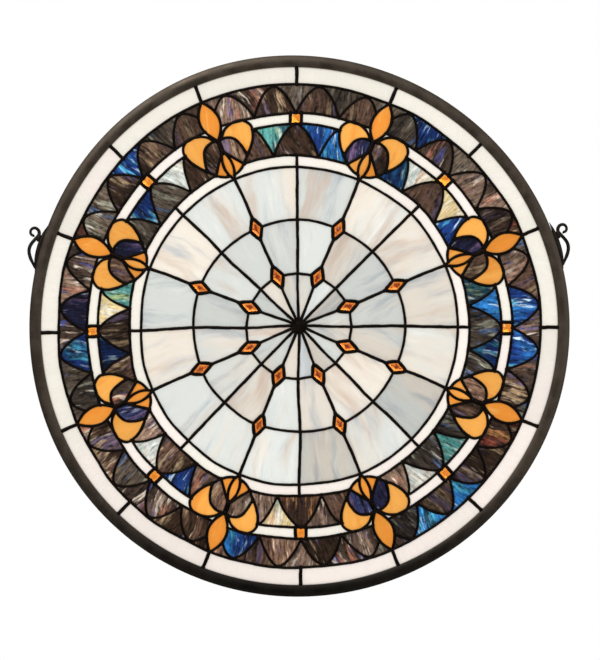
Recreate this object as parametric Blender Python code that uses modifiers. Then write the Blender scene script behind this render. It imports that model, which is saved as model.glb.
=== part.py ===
"""Round leaded-glass medallion window: eight fleurs-de-lis in a field of fish scales, round a
spoked web set with faceted jewels, in a channel rim with two scroll hangers.

Metres, +Z up. The window stands in the XZ plane, its front faces -Y, and the origin lies
midway between the loops of the two hangers. Flat shapes are drawn as seen from the front,
x to the right and y up, with one fleur-de-lis upright on the y axis, and an angle runs
clockwise from it. The whole pattern is then turned so that the top falls between two.
"""

import math

import bmesh
import bpy
import numpy as np

# Rim: a U channel with its open side inwards
RIM_RADIUS = 0.3048
RIM_FACE = 0.0127
RIM_WALL = 0.0012
FLANGE_THICKNESS = 0.0021
RIM_CROWN = 0.0007
RIM_SIDES = 48

# Glass, and the room between pieces
GLASS_THICKNESS = 0.0032
CLEARANCE = 0.0003
PANE_PLAY = 0.0012

# Bands of glass from the rim inwards, each measured between lead lines
BORDER_WIDTH = 0.0195
SCALE_WIDTH = 0.0329
WHITE_WIDTH = 0.0123
INNER_SCALE_WIDTH = 0.0353
INNER_WHITE_WIDTH = 0.0128
WEB_OUTER_WIDTH = 0.0600
WEB_MIDDLE_WIDTH = 0.0596

# Leading on the front of the glass
LEAD_WIDTH = 0.0032
LEAD_THICKNESS = 0.0011
BORDER_JOINT_WIDTH = 0.0042

# Repeats round the window
FLOWERS = 8
SCALES_PER_FLOWER = 4

# Shapes of the scales
SCALE_DROP = 0.0016
OUTER_SCALE_POWER = 1.7
INNER_SCALE_POWER = 1.5
INNER_SCALE_HALF_ANGLE = math.radians(7.4)
PETAL_SCALE_POWER = 1.7

# Fleur-de-lis
LEAF_WIDTH = 0.0218
PETAL_SPREAD = 0.0403
WING_SPREAD = 0.0180
FOOT_WIDTH = 0.0104

# Jewels
WEB_JEWEL_LENGTH = 0.0262
WEB_JEWEL_WIDTH = 0.0142
JEWEL_CROWN = 0.0026

# Hangers: a scroll of round wire on a strip that hugs the rim
HANGER_ANGLE = math.radians(16.3)
HANGER_WIRE = 0.0034
STRIP_THICKNESS = 0.0045
STRIP_WIDTH = 0.0060
STRIP_BELOW = 0.0224
STRIP_ABOVE = 0.0314
BOW_HALF_LENGTH = 0.0188
BOW_RISE = 0.0084
BOW_POWER = 1.3
CURL_RADIUS = 0.0056
CURL_TURN = math.radians(290)
CURL_TIGHTENING = 0.7
WIRE_SINK = 0.0003

# Corners of a mesh closer than this are one
MERGE_DISTANCE = 0.00001

# Levels from the web's ring outwards, for shapes that run from ring to ring
RIM_LIP = RIM_RADIUS - RIM_FACE
RING_BORDER = RIM_LIP - BORDER_WIDTH
RING_SCALE = RING_BORDER - SCALE_WIDTH
RING_WHITE = RING_SCALE - WHITE_WIDTH
RING_INNER = RING_WHITE - INNER_SCALE_WIDTH
RING_WEB = RING_INNER - INNER_WHITE_WIDTH
RING_WEB_OUTER = RING_WEB - WEB_OUTER_WIDTH
RING_WEB_INNER = RING_WEB_OUTER - WEB_MIDDLE_WIDTH
LEVELS = (RING_WEB, RING_INNER, RING_WHITE, RING_SCALE, RING_BORDER)

SECTOR = 2 * math.pi / FLOWERS
EDGE = SECTOR / 2
SCALE_ANGLE = SECTOR / SCALES_PER_FLOWER
HALF_GAP = CLEARANCE / 2
HALF_GLASS = GLASS_THICKNESS / 2
GROOVE_HALF = HALF_GLASS + CLEARANCE
RIM_HALF_DEPTH = GROOVE_HALF + FLANGE_THICKNESS
STRIP_FOOT = RIM_RADIUS + CLEARANCE
STRIP_TOP = STRIP_FOOT + STRIP_THICKNESS
LOOP_MIDDLE = STRIP_TOP + BOW_RISE / 2
HANG_HEIGHT = LOOP_MIDDLE * math.sin(HANGER_ANGLE)

# The two levels that the leaf runs between, and the foot
LEAF_LEVELS = (4, 1.95)
FOOT_LEVELS = (1.62, 0)
# The petal's edge as (share of PETAL_SPREAD, level): over the top from the inner tip to
# the drooping tip, and back along the inside
PETAL_OUTER = ((0.10, 1.98), (0.30, 2.66), (0.56, 3.0), (0.84, 2.97), (1.0, 2.35))
PETAL_FALL = ((0.965, 1.80), (0.60, 1.243))
PETAL_INNER = ((0.55, 1.62), (0.36, 1.92))
# Where the scale beside the petal comes out from under it, as (share of PETAL_SPREAD, level)
PETAL_SCALE_PEAK = (0.98, 2)
# The heart's two corners beside the axis, the wing's corner and its underside, as
# (share of WING_SPREAD, level)
HEART_TOP = (0.16, 1.93)
HEART_FOOT = (0.14, 1.62)
WING_CORNER = (0.95, 1)
WING_UNDER = ((0.60, 0.62), (0.13, 0.35))
# Shares of the way from a scale's peak to its feet at which its edge has a corner
SCALE_CORNERS = (1, 0.6, 0.2, -0.2, -0.6, -1)


def polar(radius, angle):
    return np.array([radius * math.sin(angle), radius * math.cos(angle)])


def spot(across, level):
    """The point this far from the flower's axis, at a radius read between the rings."""
    radius = np.interp(level, range(len(LEVELS)), LEVELS)
    return np.array([across, math.sqrt(radius**2 - across**2)])


def spots(spread, shares):
    return [spot(spread * share, level) for share, level in shares]


def ring(radius, start, end, steps=1):
    return [polar(radius, angle) for angle in np.linspace(start, end, steps + 1)]


def lens(width, levels, shares):
    """Right side of a pointed oval on the axis, at these shares of its length from the top."""
    high, low = np.interp(levels, range(len(LEVELS)), LEVELS)
    return [
        np.array([width * 2 * s * (1 - s), high + (low - high) * s]) for s in shares
    ]


def scale_edge(peak, half, top, foot, power, shares):
    """Points of a scale's rounded edge, at these shares of the way from its peak to a foot."""
    return [
        polar(top - (top - foot) * abs(share) ** power, peak + half * share)
        for share in shares
    ]


def mirrored(outline):
    return [point * (-1, 1) for point in reversed(outline)]


def turned(outline, angle):
    """The outline turned clockwise by the angle."""
    c, s = math.cos(angle), math.sin(angle)
    return np.asarray(outline) @ np.array([[c, -s], [s, c]])


def crossings(normals, offsets):
    """Where each line meets the one before it. A line holds the points p with normal . p = offset."""
    x, y = normals.T
    xb, yb, before = np.roll(x, 1), np.roll(y, 1), np.roll(offsets, 1)
    scale = xb * y - yb * x
    return np.column_stack(
        [(before * y - offsets * yb) / scale, (offsets * xb - before * x) / scale]
    )


def inset(outline, distance):
    """The outline drawn in by the distance on every side, or out by a negative one.

    Each edge's line is shifted along its normal and meets its neighbours' shifted lines.
    The edge that shrinks to nothing first is left out, until none is left that would turn
    round.
    """
    points = np.asarray(outline, float)
    x, y = points.T
    if x @ np.roll(y, -1) < y @ np.roll(x, -1):
        points = points[::-1]
    edges = np.roll(points, -1, axis=0) - points
    along = edges / np.hypot(*edges.T)[:, None]
    before = np.roll(along, 1, axis=0)
    bends = np.abs(before[:, 0] * along[:, 1] - before[:, 1] * along[:, 0]) > 1e-4
    points = points[bends]
    edges = np.roll(points, -1, axis=0) - points
    along = edges / np.hypot(*edges.T)[:, None]
    normals = np.column_stack([-along[:, 1], along[:, 0]])
    offsets = (points * normals).sum(1)
    while True:
        was, now = (crossings(normals, offsets + d) for d in (0, distance))
        length, left = (
            ((np.roll(corner, -1, axis=0) - corner) * along).sum(1) for corner in (was, now)
        )
        if (left > 0).all():
            return now
        lost = np.where(length > 0, length / np.maximum(length - left, 1e-12), 0)
        first = np.argmin(np.where(left > 0, np.inf, lost))
        along, normals, offsets = (
            np.delete(rows, first, axis=0) for rows in (along, normals, offsets)
        )


# Lead lines, as outlines along their middles


def leaf_share(radius):
    """How far down the leaf this radius lies, from its tip to its foot."""
    high, low = np.interp(LEAF_LEVELS, range(len(LEVELS)), LEVELS)
    return (high - radius) / (high - low)


def leaf_side(shares):
    return lens(LEAF_WIDTH, LEAF_LEVELS, shares)


def foot_side(shares):
    return lens(FOOT_WIDTH, FOOT_LEVELS, shares)


def outer_scale_edge(peak, shares):
    return scale_edge(
        peak,
        SCALE_ANGLE / 2,
        RING_BORDER - SCALE_DROP,
        RING_SCALE,
        OUTER_SCALE_POWER,
        shares,
    )


def leaf_crossing():
    """The share of the first scale's edge at which it runs into the leaf, by halving."""
    low, high = -1.0, 0.0
    for _ in range(40):
        middle = (low + high) / 2
        (point,) = outer_scale_edge(SCALE_ANGLE / 2, [middle])
        leaf = leaf_side([leaf_share(math.hypot(*point))])[0]
        low, high = (low, middle) if point[0] > leaf[0] else (middle, high)
    return high


def scale_panes():
    """The outer scales right of the axis, and the panes between them up to the border."""
    crossing = leaf_crossing()
    peaks = [SCALE_ANGLE * (i + 0.5) for i in range(SCALES_PER_FLOWER // 2)]
    (meeting,) = outer_scale_edge(peaks[0], [crossing])
    down = np.linspace(leaf_share(math.hypot(*meeting)), leaf_share(RING_SCALE), 3)
    panes = [
        outer_scale_edge(peaks[0], (1, 0.6, 0.15, crossing)) + leaf_side(down[1:]),
        leaf_side([0]) + outer_scale_edge(peaks[0], (crossing, 0)),
    ]
    panes += [outer_scale_edge(peak, SCALE_CORNERS) for peak in peaks[1:]]
    panes += [gusset(peak + SCALE_ANGLE / 2) for peak in peaks[:-1]]
    return panes


def gusset(middle):
    """The three-cornered pane over the foot that two outer scales share."""
    half = SCALE_ANGLE / 2
    return (
        outer_scale_edge(middle - half, (0.1, 0.55, 1))
        + outer_scale_edge(middle + half, (-0.55, -0.1))
    )


def inner_scale_edge(shares):
    """The inner scale on the line between two flowers."""
    return scale_edge(
        EDGE, INNER_SCALE_HALF_ANGLE, RING_WHITE, RING_INNER, INNER_SCALE_POWER, shares
    )


def petal_scale_edge(shares):
    """The inner scale beside the petal, from its foot up to where it runs under the petal."""
    foot = EDGE - INNER_SCALE_HALF_ANGLE
    (start,) = spots(PETAL_SPREAD, [PETAL_SCALE_PEAK])
    peak = math.atan2(*start)
    return scale_edge(
        peak, foot - peak, RING_WHITE, RING_INNER, PETAL_SCALE_POWER, shares
    )


def flower_panes():
    """The pieces of the fleur-de-lis right of its axis: petal, heart and wing."""
    fall = spots(PETAL_SPREAD, PETAL_OUTER + PETAL_FALL)
    inside = spots(PETAL_SPREAD, PETAL_INNER)
    *knot, corner = spots(WING_SPREAD, (HEART_TOP, HEART_FOOT, WING_CORNER))
    under = spots(WING_SPREAD, WING_UNDER)
    return [
        fall + inside,
        [knot[0]] + inside[::-1] + [fall[-1], corner, knot[1]],
        [knot[1], corner] + under + foot_side([0.5]),
    ]


def inner_panes():
    """White band, petal scale, the pane beside it and the inner white band."""
    petal = spots(PETAL_SPREAD, PETAL_OUTER + PETAL_FALL)
    beside = math.asin(WHITE_WIDTH / 2 / RING_SCALE)
    corner, *under = spots(WING_SPREAD, (WING_CORNER,) + WING_UNDER)
    corner_angle = math.atan2(*corner)
    start = math.atan2(*petal_scale_edge([0])[0])
    return [
        [petal[3]]
        + ring(RING_SCALE, SCALE_ANGLE, EDGE - beside)
        + ring(RING_WHITE, EDGE - beside, start)
        + [petal[4]],
        petal_scale_edge((0, 0.5, 1)) + [corner] + petal[:4:-1],
        petal_scale_edge((1, 0.5, 0)) + inner_scale_edge((0, -0.5)),
        ring(RING_INNER, corner_angle, EDGE, 2) + ring(RING_WEB, EDGE, 0, 2) + under[::-1],
    ]


def jewel_corner_angle(radius):
    """Angle from a jewel's axis to its side corner, which lies on the ring."""
    return math.asin(WEB_JEWEL_WIDTH / 2 / radius)


def web_panes():
    """The three panes between the flower's spoke and the spoke on the edge."""
    outer, inner = RING_WEB_OUTER, RING_WEB_INNER
    reach = WEB_JEWEL_LENGTH / 2
    beside_outer, beside_inner = (jewel_corner_angle(r) for r in (outer, inner))
    outer_line = ring(outer, EDGE, beside_outer)
    inner_line = ring(inner, EDGE, beside_inner)
    return [
        ring(RING_WEB, 0, EDGE, 2) + outer_line + [polar(outer + reach, 0)],
        outer_line[::-1]
        + inner_line
        + [polar(inner + reach, 0), polar(outer - reach, 0)],
        inner_line + [polar(inner - reach, 0), np.zeros(2)],
    ]


def web_jewel_outline():
    across, along = WEB_JEWEL_WIDTH / 2, WEB_JEWEL_LENGTH / 2
    return np.array([(across, 0), (0, along), (-across, 0), (0, -along)])


def square_jewel_outline():
    half = WHITE_WIDTH / 2
    return np.array([(half, half), (-half, half), (-half, -half), (half, -half)])


def sector_panes():
    """Outlines of every pane of one flower's share of the window, by their lead lines."""
    right = scale_panes() + flower_panes() + inner_panes() + web_panes()
    leaf, foot = leaf_side((0.02, 0.22, 0.5, 0.78)), foot_side((0.02, 0.5))
    leaf += leaf_side([1]) + mirrored(leaf)
    foot += foot_side([1]) + mirrored(foot)
    middles = [leaf, foot, gusset(EDGE)]
    middles += [
        inner_scale_edge(SCALE_CORNERS) + [polar(RING_INNER, EDGE)],
        turned(square_jewel_outline() + (0, square_jewel_radius()), EDGE),
    ]
    middles += [web_jewel_outline() + (0, r) for r in (RING_WEB_OUTER, RING_WEB_INNER)]
    return right + [mirrored(outline) for outline in right] + middles


def square_jewel_radius():
    return (RING_SCALE + RING_WHITE) / 2


def flower_outline():
    """Outer edge of the whole fleur-de-lis, on the axis of the top of the window."""
    meets_ring = leaf_share(RING_SCALE)
    right = leaf_side((0, meets_ring / 2, meets_ring))
    right += spots(PETAL_SPREAD, PETAL_OUTER[2:] + PETAL_FALL)
    right += spots(WING_SPREAD, [WING_CORNER])
    return right + [polar(RING_WEB, 0)] + mirrored(right[1:])


def web_ring_outline(radius, toward):
    """A ring line that runs round the jewels, on their outer side or their inner one."""
    beside = jewel_corner_angle(radius)
    tip = radius + toward * WEB_JEWEL_LENGTH / 2
    part = ring(radius, beside, SECTOR - beside, 2) + [polar(tip, SECTOR)]
    return np.concatenate([turned(part, SECTOR * i) for i in range(FLOWERS)])


def field_outline():
    """Ring line under the border, with a notch for each fleur-de-lis."""
    flower = flower_outline()
    part = ring(RING_BORDER, 0, SECTOR, SCALES_PER_FLOWER)
    part += list(turned(flower[:0:-1], SECTOR))
    return np.concatenate([turned(part, SECTOR * i) for i in range(FLOWERS)])


def leading_outline():
    """Outer edge of the leading: the border's ring line with a joint running out to the rim
    between each two border panes."""
    edge = RING_BORDER + LEAD_WIDTH / 2
    end = RIM_LIP * math.cos(math.pi / RIM_SIDES) - CLEARANCE
    half = BORDER_JOINT_WIDTH / 2
    low, high = math.asin(half / edge), math.asin(half / end)
    part = [
        polar(edge, -low),
        polar(end, -high),
        polar(end, high),
        polar(edge, low),
        polar(edge, EDGE / 2),
    ]
    return np.concatenate([turned(part, EDGE * i) for i in range(2 * FLOWERS)])


# Blender objects


def clear_scene():
    for old in list(bpy.data.objects):
        bpy.data.objects.remove(old, do_unlink=True)


def collection(name):
    made = bpy.data.collections.new(name)
    bpy.context.scene.collection.children.link(made)
    return made


def material(name, colour, roughness, metallic=0.0, alpha=1.0):
    made = bpy.data.materials.new(name)
    made.use_nodes = True
    shader = made.node_tree.nodes["Principled BSDF"]
    shader.inputs["Base Color"].default_value = (*colour, 1)
    shader.inputs["Roughness"].default_value = roughness
    shader.inputs["Metallic"].default_value = metallic
    shader.inputs["Alpha"].default_value = alpha
    return made


def place(name, data, finish, parts, centre, angle=0.0, forward=0.0):
    """Puts the data in the window's plane, turned clockwise and moved towards the front."""
    made = bpy.data.objects.new(name, data)
    if finish:
        made.data.materials.clear()
        made.data.materials.append(finish)
    made.parent = centre
    made.location.z = forward
    made.rotation_euler.z = -angle
    parts.objects.link(made)
    return made


def plate(name, outlines, thickness):
    """A flat piece: the first outline filled, with the others as holes."""
    curve = bpy.data.curves.new(name, "CURVE")
    curve.dimensions = "2D"
    curve.fill_mode = "BOTH"
    curve.extrude = thickness / 2
    for outline in outlines:
        spline = curve.splines.new("POLY")
        spline.points.add(len(outline) - 1)
        spline.use_cyclic_u = True
        flat = np.c_[outline, np.zeros(len(outline)), np.ones(len(outline))]
        spline.points.foreach_set("co", flat.ravel())
    return curve


def make_rim(parts, centre, finish):
    """The channel's section turned round the window's axis, down its outer side first."""
    face = RIM_HALF_DEPTH - RIM_CROWN
    groove = RIM_RADIUS - RIM_WALL
    section = [
        (RIM_LIP, face),
        ((RIM_LIP + RIM_RADIUS) / 2, RIM_HALF_DEPTH),
        (RIM_RADIUS, face),
        (RIM_RADIUS, -RIM_HALF_DEPTH),
        (RIM_LIP, -RIM_HALF_DEPTH),
        (RIM_LIP, -GROOVE_HALF),
        (groove, -GROOVE_HALF),
        (groove, GROOVE_HALF),
        (RIM_LIP, GROOVE_HALF),
    ]
    mesh = bpy.data.meshes.new("rim")
    edges = [(i, (i + 1) % len(section)) for i in range(len(section))]
    mesh.from_pydata([(x, 0, z) for x, z in section], edges, [])
    made = place("rim", mesh, finish, parts, centre)
    turn = made.modifiers.new("Turn", "SCREW")
    turn.steps = turn.render_steps = RIM_SIDES
    turn.use_merge_vertices = True
    turn.merge_threshold = MERGE_DISTANCE


def border_outline():
    """One border pane, from under the border's ring line to inside the channel."""
    outer = RIM_RADIUS * math.cos(math.pi / RIM_SIDES) - RIM_WALL - PANE_PLAY
    return ring(outer, 0, EDGE, 2) + ring(RING_BORDER, EDGE, 0, 2)


def jewel(outline):
    """A cut jewel: the outline as a slab, its face stepped in and raised to a point."""
    mesh = bpy.data.meshes.new("jewel")
    cut = bmesh.new()
    corners = [cut.verts.new((*point, -HALF_GLASS)) for point in inset(outline, HALF_GAP)]
    base = cut.faces.new(corners)
    raised = bmesh.ops.extrude_face_region(cut, geom=[base])["geom"]
    lifted = [v for v in raised if isinstance(v, bmesh.types.BMVert)]
    bmesh.ops.translate(cut, verts=lifted, vec=(0, 0, GLASS_THICKNESS))
    (front,) = [f for f in raised if isinstance(f, bmesh.types.BMFace)]
    step = LEAD_WIDTH / 2 + CLEARANCE
    bmesh.ops.inset_individual(cut, faces=[front], thickness=step, use_even_offset=True)
    bmesh.ops.poke(cut, faces=[front], offset=JEWEL_CROWN)
    bmesh.ops.recalc_face_normals(cut, faces=cut.faces[:])
    cut.to_mesh(mesh)
    cut.free()
    return mesh


def welded_mesh(curve_object):
    """The curve's solid as a mesh object in the same place, its caps welded on."""
    graph = bpy.context.evaluated_depsgraph_get()
    mesh = bpy.data.meshes.new_from_object(curve_object.evaluated_get(graph))
    work = bmesh.new()
    work.from_mesh(mesh)
    bmesh.ops.remove_doubles(work, verts=work.verts[:], dist=MERGE_DISTANCE)
    bmesh.ops.recalc_face_normals(work, faces=work.faces[:])
    work.to_mesh(mesh)
    work.free()
    return mesh


def hugging(along, out, side):
    """The point this far along the rim above the loop's middle, and this far out from it."""
    angle = HANGER_ANGLE + along / RIM_RADIUS
    radius = RIM_RADIUS + out
    return np.array([side * radius * math.cos(angle), radius * math.sin(angle)])


def hanger_path():
    """The wire's middle line as (along the rim, out from it): a bow that starts in the strip,
    rises as a rounded sine and comes down on the strip, then a curl that winds inwards."""
    strip = CLEARANCE + STRIP_THICKNESS
    landing = strip + HANGER_WIRE / 2 - WIRE_SINK
    start = CLEARANCE + STRIP_THICKNESS / 2
    share = np.linspace(0, 1, 10)
    bow_along = BOW_HALF_LENGTH * (2 * share - 1)
    bow_out = start + (landing - start) * share
    bow_out += BOW_RISE * np.sin(math.pi * share) ** BOW_POWER
    turn = np.linspace(0, 1, 11)[1:]
    radius = CURL_RADIUS * (1 - CURL_TIGHTENING * turn**3)
    angle = CURL_TURN * turn - math.pi / 2
    curl_along = BOW_HALF_LENGTH + radius * np.cos(angle)
    curl_out = landing + CURL_RADIUS + radius * np.sin(angle)
    return np.c_[np.r_[bow_along, curl_along], np.r_[bow_out, curl_out]]


def hanger_wire(side):
    curve = bpy.data.curves.new("hanger wire", "CURVE")
    curve.dimensions = "3D"
    curve.bevel_depth = HANGER_WIRE / 2
    curve.bevel_resolution = 1
    curve.use_fill_caps = True
    points = [hugging(along, out, side) for along, out in hanger_path()]
    spline = curve.splines.new("POLY")
    spline.points.add(len(points) - 1)
    for point, (x, y) in zip(spline.points, points):
        point.co = (x, y, 0, 1)
    return curve


def make_hanger(side, parts, cutters, centre, finish):
    """A strip that follows the rim with a scroll of wire brazed to it."""
    name = "hanger_right" if side > 0 else "hanger_left"
    ends = (-STRIP_BELOW, STRIP_ABOVE)
    foot, top = (
        [hugging(along, out, side) for along in np.linspace(*ends, 5)]
        for out in (CLEARANCE, CLEARANCE + STRIP_THICKNESS)
    )
    strip = place("strip", plate("strip", [foot + top[::-1]], STRIP_WIDTH), None, parts, centre)
    wire = place("wire", hanger_wire(side), None, parts, centre)
    bpy.context.view_layer.update()
    strip_mesh, wire_mesh = welded_mesh(strip), welded_mesh(wire)
    bpy.data.objects.remove(strip)
    bpy.data.objects.remove(wire)
    scroll = place(name + "_scroll", wire_mesh, finish, cutters, centre)
    scroll.hide_render = True
    scroll.display_type = "WIRE"
    made = place(name, strip_mesh, finish, parts, centre)
    join = made.modifiers.new("Braze", "BOOLEAN")
    join.operation = "UNION"
    join.object = scroll


def main():
    clear_scene()
    parts = collection("medallion_window")
    cutters = collection("joined_in")
    centre = bpy.data.objects.new("disc_centre", None)
    centre.location.z = -HANG_HEIGHT
    centre.rotation_euler.x = math.pi / 2
    parts.objects.link(centre)

    patina = material("rim_patina", (0.045, 0.035, 0.028), 0.5, 0.8)
    lead = material("leading_patina", (0.03, 0.025, 0.02), 0.45, 0.8)
    cream = material("cream_glass", (0.91, 0.86, 0.78), 0.15)
    field = material("field_glass", (0.30, 0.28, 0.36), 0.15)
    milky = material("milky_glass", (0.80, 0.82, 0.86), 0.15)
    amber = material("amber_glass", (0.95, 0.40, 0.07), 0.12)
    jewel_red = material("jewel_glass", (0.80, 0.16, 0.03), 0.05)
    jewel_gold = material("square_jewel_glass", (0.90, 0.28, 0.02), 0.05)

    make_rim(parts, centre, patina)
    for side in (-1, 1):
        make_hanger(side, parts, cutters, centre, patina)

    holes = [inset(outline, LEAD_WIDTH / 2) for outline in sector_panes()]
    turns = [SECTOR * (i + 0.5) for i in range(FLOWERS)]
    openings = [turned(hole, turn) for turn in turns for hole in holes]
    leading = plate("leading", [leading_outline()] + openings, LEAD_THICKNESS)
    in_front = GROOVE_HALF + LEAD_THICKNESS / 2
    place("leading", leading, lead, parts, centre, forward=in_front)

    square_hole = square_jewel_outline() + (0, square_jewel_radius())
    field_holes = [turned(web_ring_outline(RING_WEB_OUTER, 1), EDGE)]
    field_holes += [turned(square_hole, turn + EDGE) for turn in turns]
    field_edges = [inset(turned(field_outline(), EDGE), HALF_GAP)]
    field_edges += [inset(hole, -HALF_GAP) for hole in field_holes]
    place("field_glass", plate("field_glass", field_edges, GLASS_THICKNESS), field, parts, centre)

    middle_edges = [inset(web_ring_outline(RING_WEB_OUTER, -1), HALF_GAP)]
    middle_edges += [inset(web_ring_outline(RING_WEB_INNER, 1), -HALF_GAP)]
    middle = plate("web_middle_glass", middle_edges, GLASS_THICKNESS)
    place("web_middle_glass", middle, milky, parts, centre, EDGE)
    hub_edge = inset(web_ring_outline(RING_WEB_INNER, -1), HALF_GAP)
    hub = plate("web_hub_glass", [hub_edge], GLASS_THICKNESS)
    place("web_hub_glass", hub, milky, parts, centre, EDGE)

    flower = plate("fleur_de_lis", [inset(flower_outline(), HALF_GAP)], GLASS_THICKNESS)
    square = jewel(square_jewel_outline())
    diamond = jewel(web_jewel_outline())
    for i, turn in enumerate(turns, 1):
        place(f"fleur_de_lis_{i}", flower, amber, parts, centre, turn)
        made = place(f"square_jewel_{i}", square, jewel_gold, parts, centre, turn + EDGE)
        made.location.xy = polar(square_jewel_radius(), turn + EDGE)
        for level, radius in (("outer", RING_WEB_OUTER), ("inner", RING_WEB_INNER)):
            made = place(f"web_jewel_{level}_{i}", diamond, jewel_red, parts, centre, turn)
            made.location.xy = polar(radius, turn)
    pane = plate("border_pane", [inset(border_outline(), HALF_GAP)], GLASS_THICKNESS)
    for i in range(2 * FLOWERS):
        place(f"border_pane_{i + 1:02d}", pane, cream, parts, centre, EDGE * i)


main()
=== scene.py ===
"""Dressed look of a round leaded-glass window: every pane, bead of solder, jewel and hanger.

Flat shapes are drawn as seen from the front, x to the right and y up, with the origin at the
middle of the disc, in metres. Angles run clockwise from the top. One eighth of the pattern is
drawn with its fleur-de-lis upright on the y axis, and then turned into each of its eight places.
"""

import math

import bpy
import numpy as np
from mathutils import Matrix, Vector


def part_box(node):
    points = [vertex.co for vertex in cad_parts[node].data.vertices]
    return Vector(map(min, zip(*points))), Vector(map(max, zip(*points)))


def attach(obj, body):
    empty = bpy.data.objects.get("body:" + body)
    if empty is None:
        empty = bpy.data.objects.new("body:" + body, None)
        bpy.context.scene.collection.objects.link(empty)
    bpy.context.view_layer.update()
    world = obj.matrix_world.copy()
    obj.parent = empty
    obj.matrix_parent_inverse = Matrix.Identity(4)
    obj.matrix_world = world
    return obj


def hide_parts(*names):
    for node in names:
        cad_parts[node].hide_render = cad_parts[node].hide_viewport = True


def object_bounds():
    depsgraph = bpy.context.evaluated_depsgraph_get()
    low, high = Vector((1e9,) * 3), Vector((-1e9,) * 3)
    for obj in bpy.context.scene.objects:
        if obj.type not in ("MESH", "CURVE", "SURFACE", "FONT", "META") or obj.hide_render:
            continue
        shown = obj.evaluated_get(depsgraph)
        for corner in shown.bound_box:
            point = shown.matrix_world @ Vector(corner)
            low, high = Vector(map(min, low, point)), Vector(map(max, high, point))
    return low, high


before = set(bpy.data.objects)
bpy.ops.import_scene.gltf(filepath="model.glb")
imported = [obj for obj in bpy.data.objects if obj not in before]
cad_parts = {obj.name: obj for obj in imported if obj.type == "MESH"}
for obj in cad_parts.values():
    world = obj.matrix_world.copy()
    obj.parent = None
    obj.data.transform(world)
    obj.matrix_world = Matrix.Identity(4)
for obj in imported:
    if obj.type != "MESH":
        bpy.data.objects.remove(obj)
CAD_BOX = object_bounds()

bl_info = {
    "name": "Medallion Window",
    "version": (1, 0, 0),
    "blender": (4, 5, 0),
    "location": "3D View > Sidebar > Window",
    "description": "Builds the glass, solder, jewels and metalwork of a round leaded window",
    "category": "Add Mesh",
}

RIM_LOW, RIM_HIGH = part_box("rim")
RIM_RADIUS = (RIM_HIGH.z - RIM_LOW.z) / 2
CENTRE_Z = (RIM_HIGH.z + RIM_LOW.z) / 2
RIM_HALF_DEPTH = (RIM_HIGH.y - RIM_LOW.y) / 2

# The rim: its face, how far it is spread past that, its wall, the fall of the face to its edges,
# how far its edges are rounded, and the room round the glass in it
RIM_FACE = 0.0127
RIM_SPREAD = 0.0003
RIM_WALL = 0.0012
RIM_CROWN = 0.0014
RIM_ROUNDING = 0.0006
RIM_ROOM = 0.0003

# Widths of the bands of glass, from seam to seam, and radii of the seams between them
BORDER_WIDTH = 0.0195
SCALE_WIDTH = 0.0329
WHITE_WIDTH = 0.0123
INNER_SCALE_WIDTH = 0.0353
INNER_WHITE_WIDTH = 0.0128
WEB_OUTER_WIDTH = 0.0600
WEB_MIDDLE_WIDTH = 0.0596
RIM_LIP = RIM_RADIUS - RIM_FACE
RING_BORDER = RIM_LIP - BORDER_WIDTH
RING_SCALE = RING_BORDER - SCALE_WIDTH
RING_WHITE = RING_SCALE - WHITE_WIDTH
RING_INNER = RING_WHITE - INNER_SCALE_WIDTH
RING_WEB = RING_INNER - INNER_WHITE_WIDTH
RING_WEB_OUTER = RING_WEB - WEB_OUTER_WIDTH
RING_WEB_INNER = RING_WEB_OUTER - WEB_MIDDLE_WIDTH
LEVELS = (RING_WEB, RING_INNER, RING_WHITE, RING_SCALE, RING_BORDER)

FLOWERS = 8
SECTOR = 2 * math.pi / FLOWERS
EDGE = SECTOR / 2
SCALE_ANGLE = SECTOR / 4

# The scales' rounded edges: how far the outer ones stay below their ring, and their shapes
SCALE_DROP = 0.0016
OUTER_SCALE_POWER = 1.7
INNER_SCALE_POWER = 1.5
INNER_SCALE_HALF_ANGLE = math.radians(7.4)
PETAL_SCALE_POWER = 1.7
# How far the gussets end short of the scales' peaks, as a share of half a scale
GUSSET_CUT = 0.08

# Fleur-de-lis: points as (share of the spread, level), where a level counts rings from the web
LEAF_WIDTH = 0.0218
LEAF_LEVELS = (4, 1.95)
FOOT_WIDTH = 0.0104
FOOT_LEVELS = (1.62, 0)
PETAL_SPREAD = 0.0403
WING_SPREAD = 0.0180
PETAL_OUTER = (
    (0.10, 1.98), (0.30, 2.66), (0.56, 3.0), (0.84, 2.97),
    (1.0, 2.35), (0.965, 1.85), (0.80, 1.50), (0.60, 1.243),
)
PETAL_INNER = ((0.60, 1.243), (0.565, 1.55), (0.43, 1.87), (0.25, 1.965), (0.10, 1.98))
HEART_TOP = (0.02, 1.95)
HEART_FOOT = (0.02, 1.62)
WING_CORNER = (0.95, 1.0)
WING_UNDER = (WING_CORNER, (0.70, 0.71), (0.38, 0.47), (0.13, 0.37))

WEB_JEWEL_LENGTH = 0.0272
WEB_JEWEL_WIDTH = 0.0138
# How far a web jewel reaches in and out, and to the side as an angle, in each ring
JEWEL_REACH = WEB_JEWEL_LENGTH / 2
JEWEL_ANGLES = [math.asin(WEB_JEWEL_WIDTH / 2 / r) for r in (RING_WEB_OUTER, RING_WEB_INNER)]
JEWEL_SEAM_BULGE = 0.04
SQUARE_JEWEL_RADIUS = (RING_SCALE + RING_WHITE) / 2
# How deep the glass of a jewel is at each of its rings, from 0 to 1
JEWEL_DEPTHS = (0, 0, 0.1, 0.75, 1.0)

# How high each hanger's loop stands on the rim, where -1 is the left side and 1 the right, how
# far the strips stand off the rim, and how far the curls wind
HANGER_ANGLES = {-1: math.radians(16.5), 1: math.radians(16.05)}
HANGER_GAP = -0.0002
CURL_TURN = math.radians(292)
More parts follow.
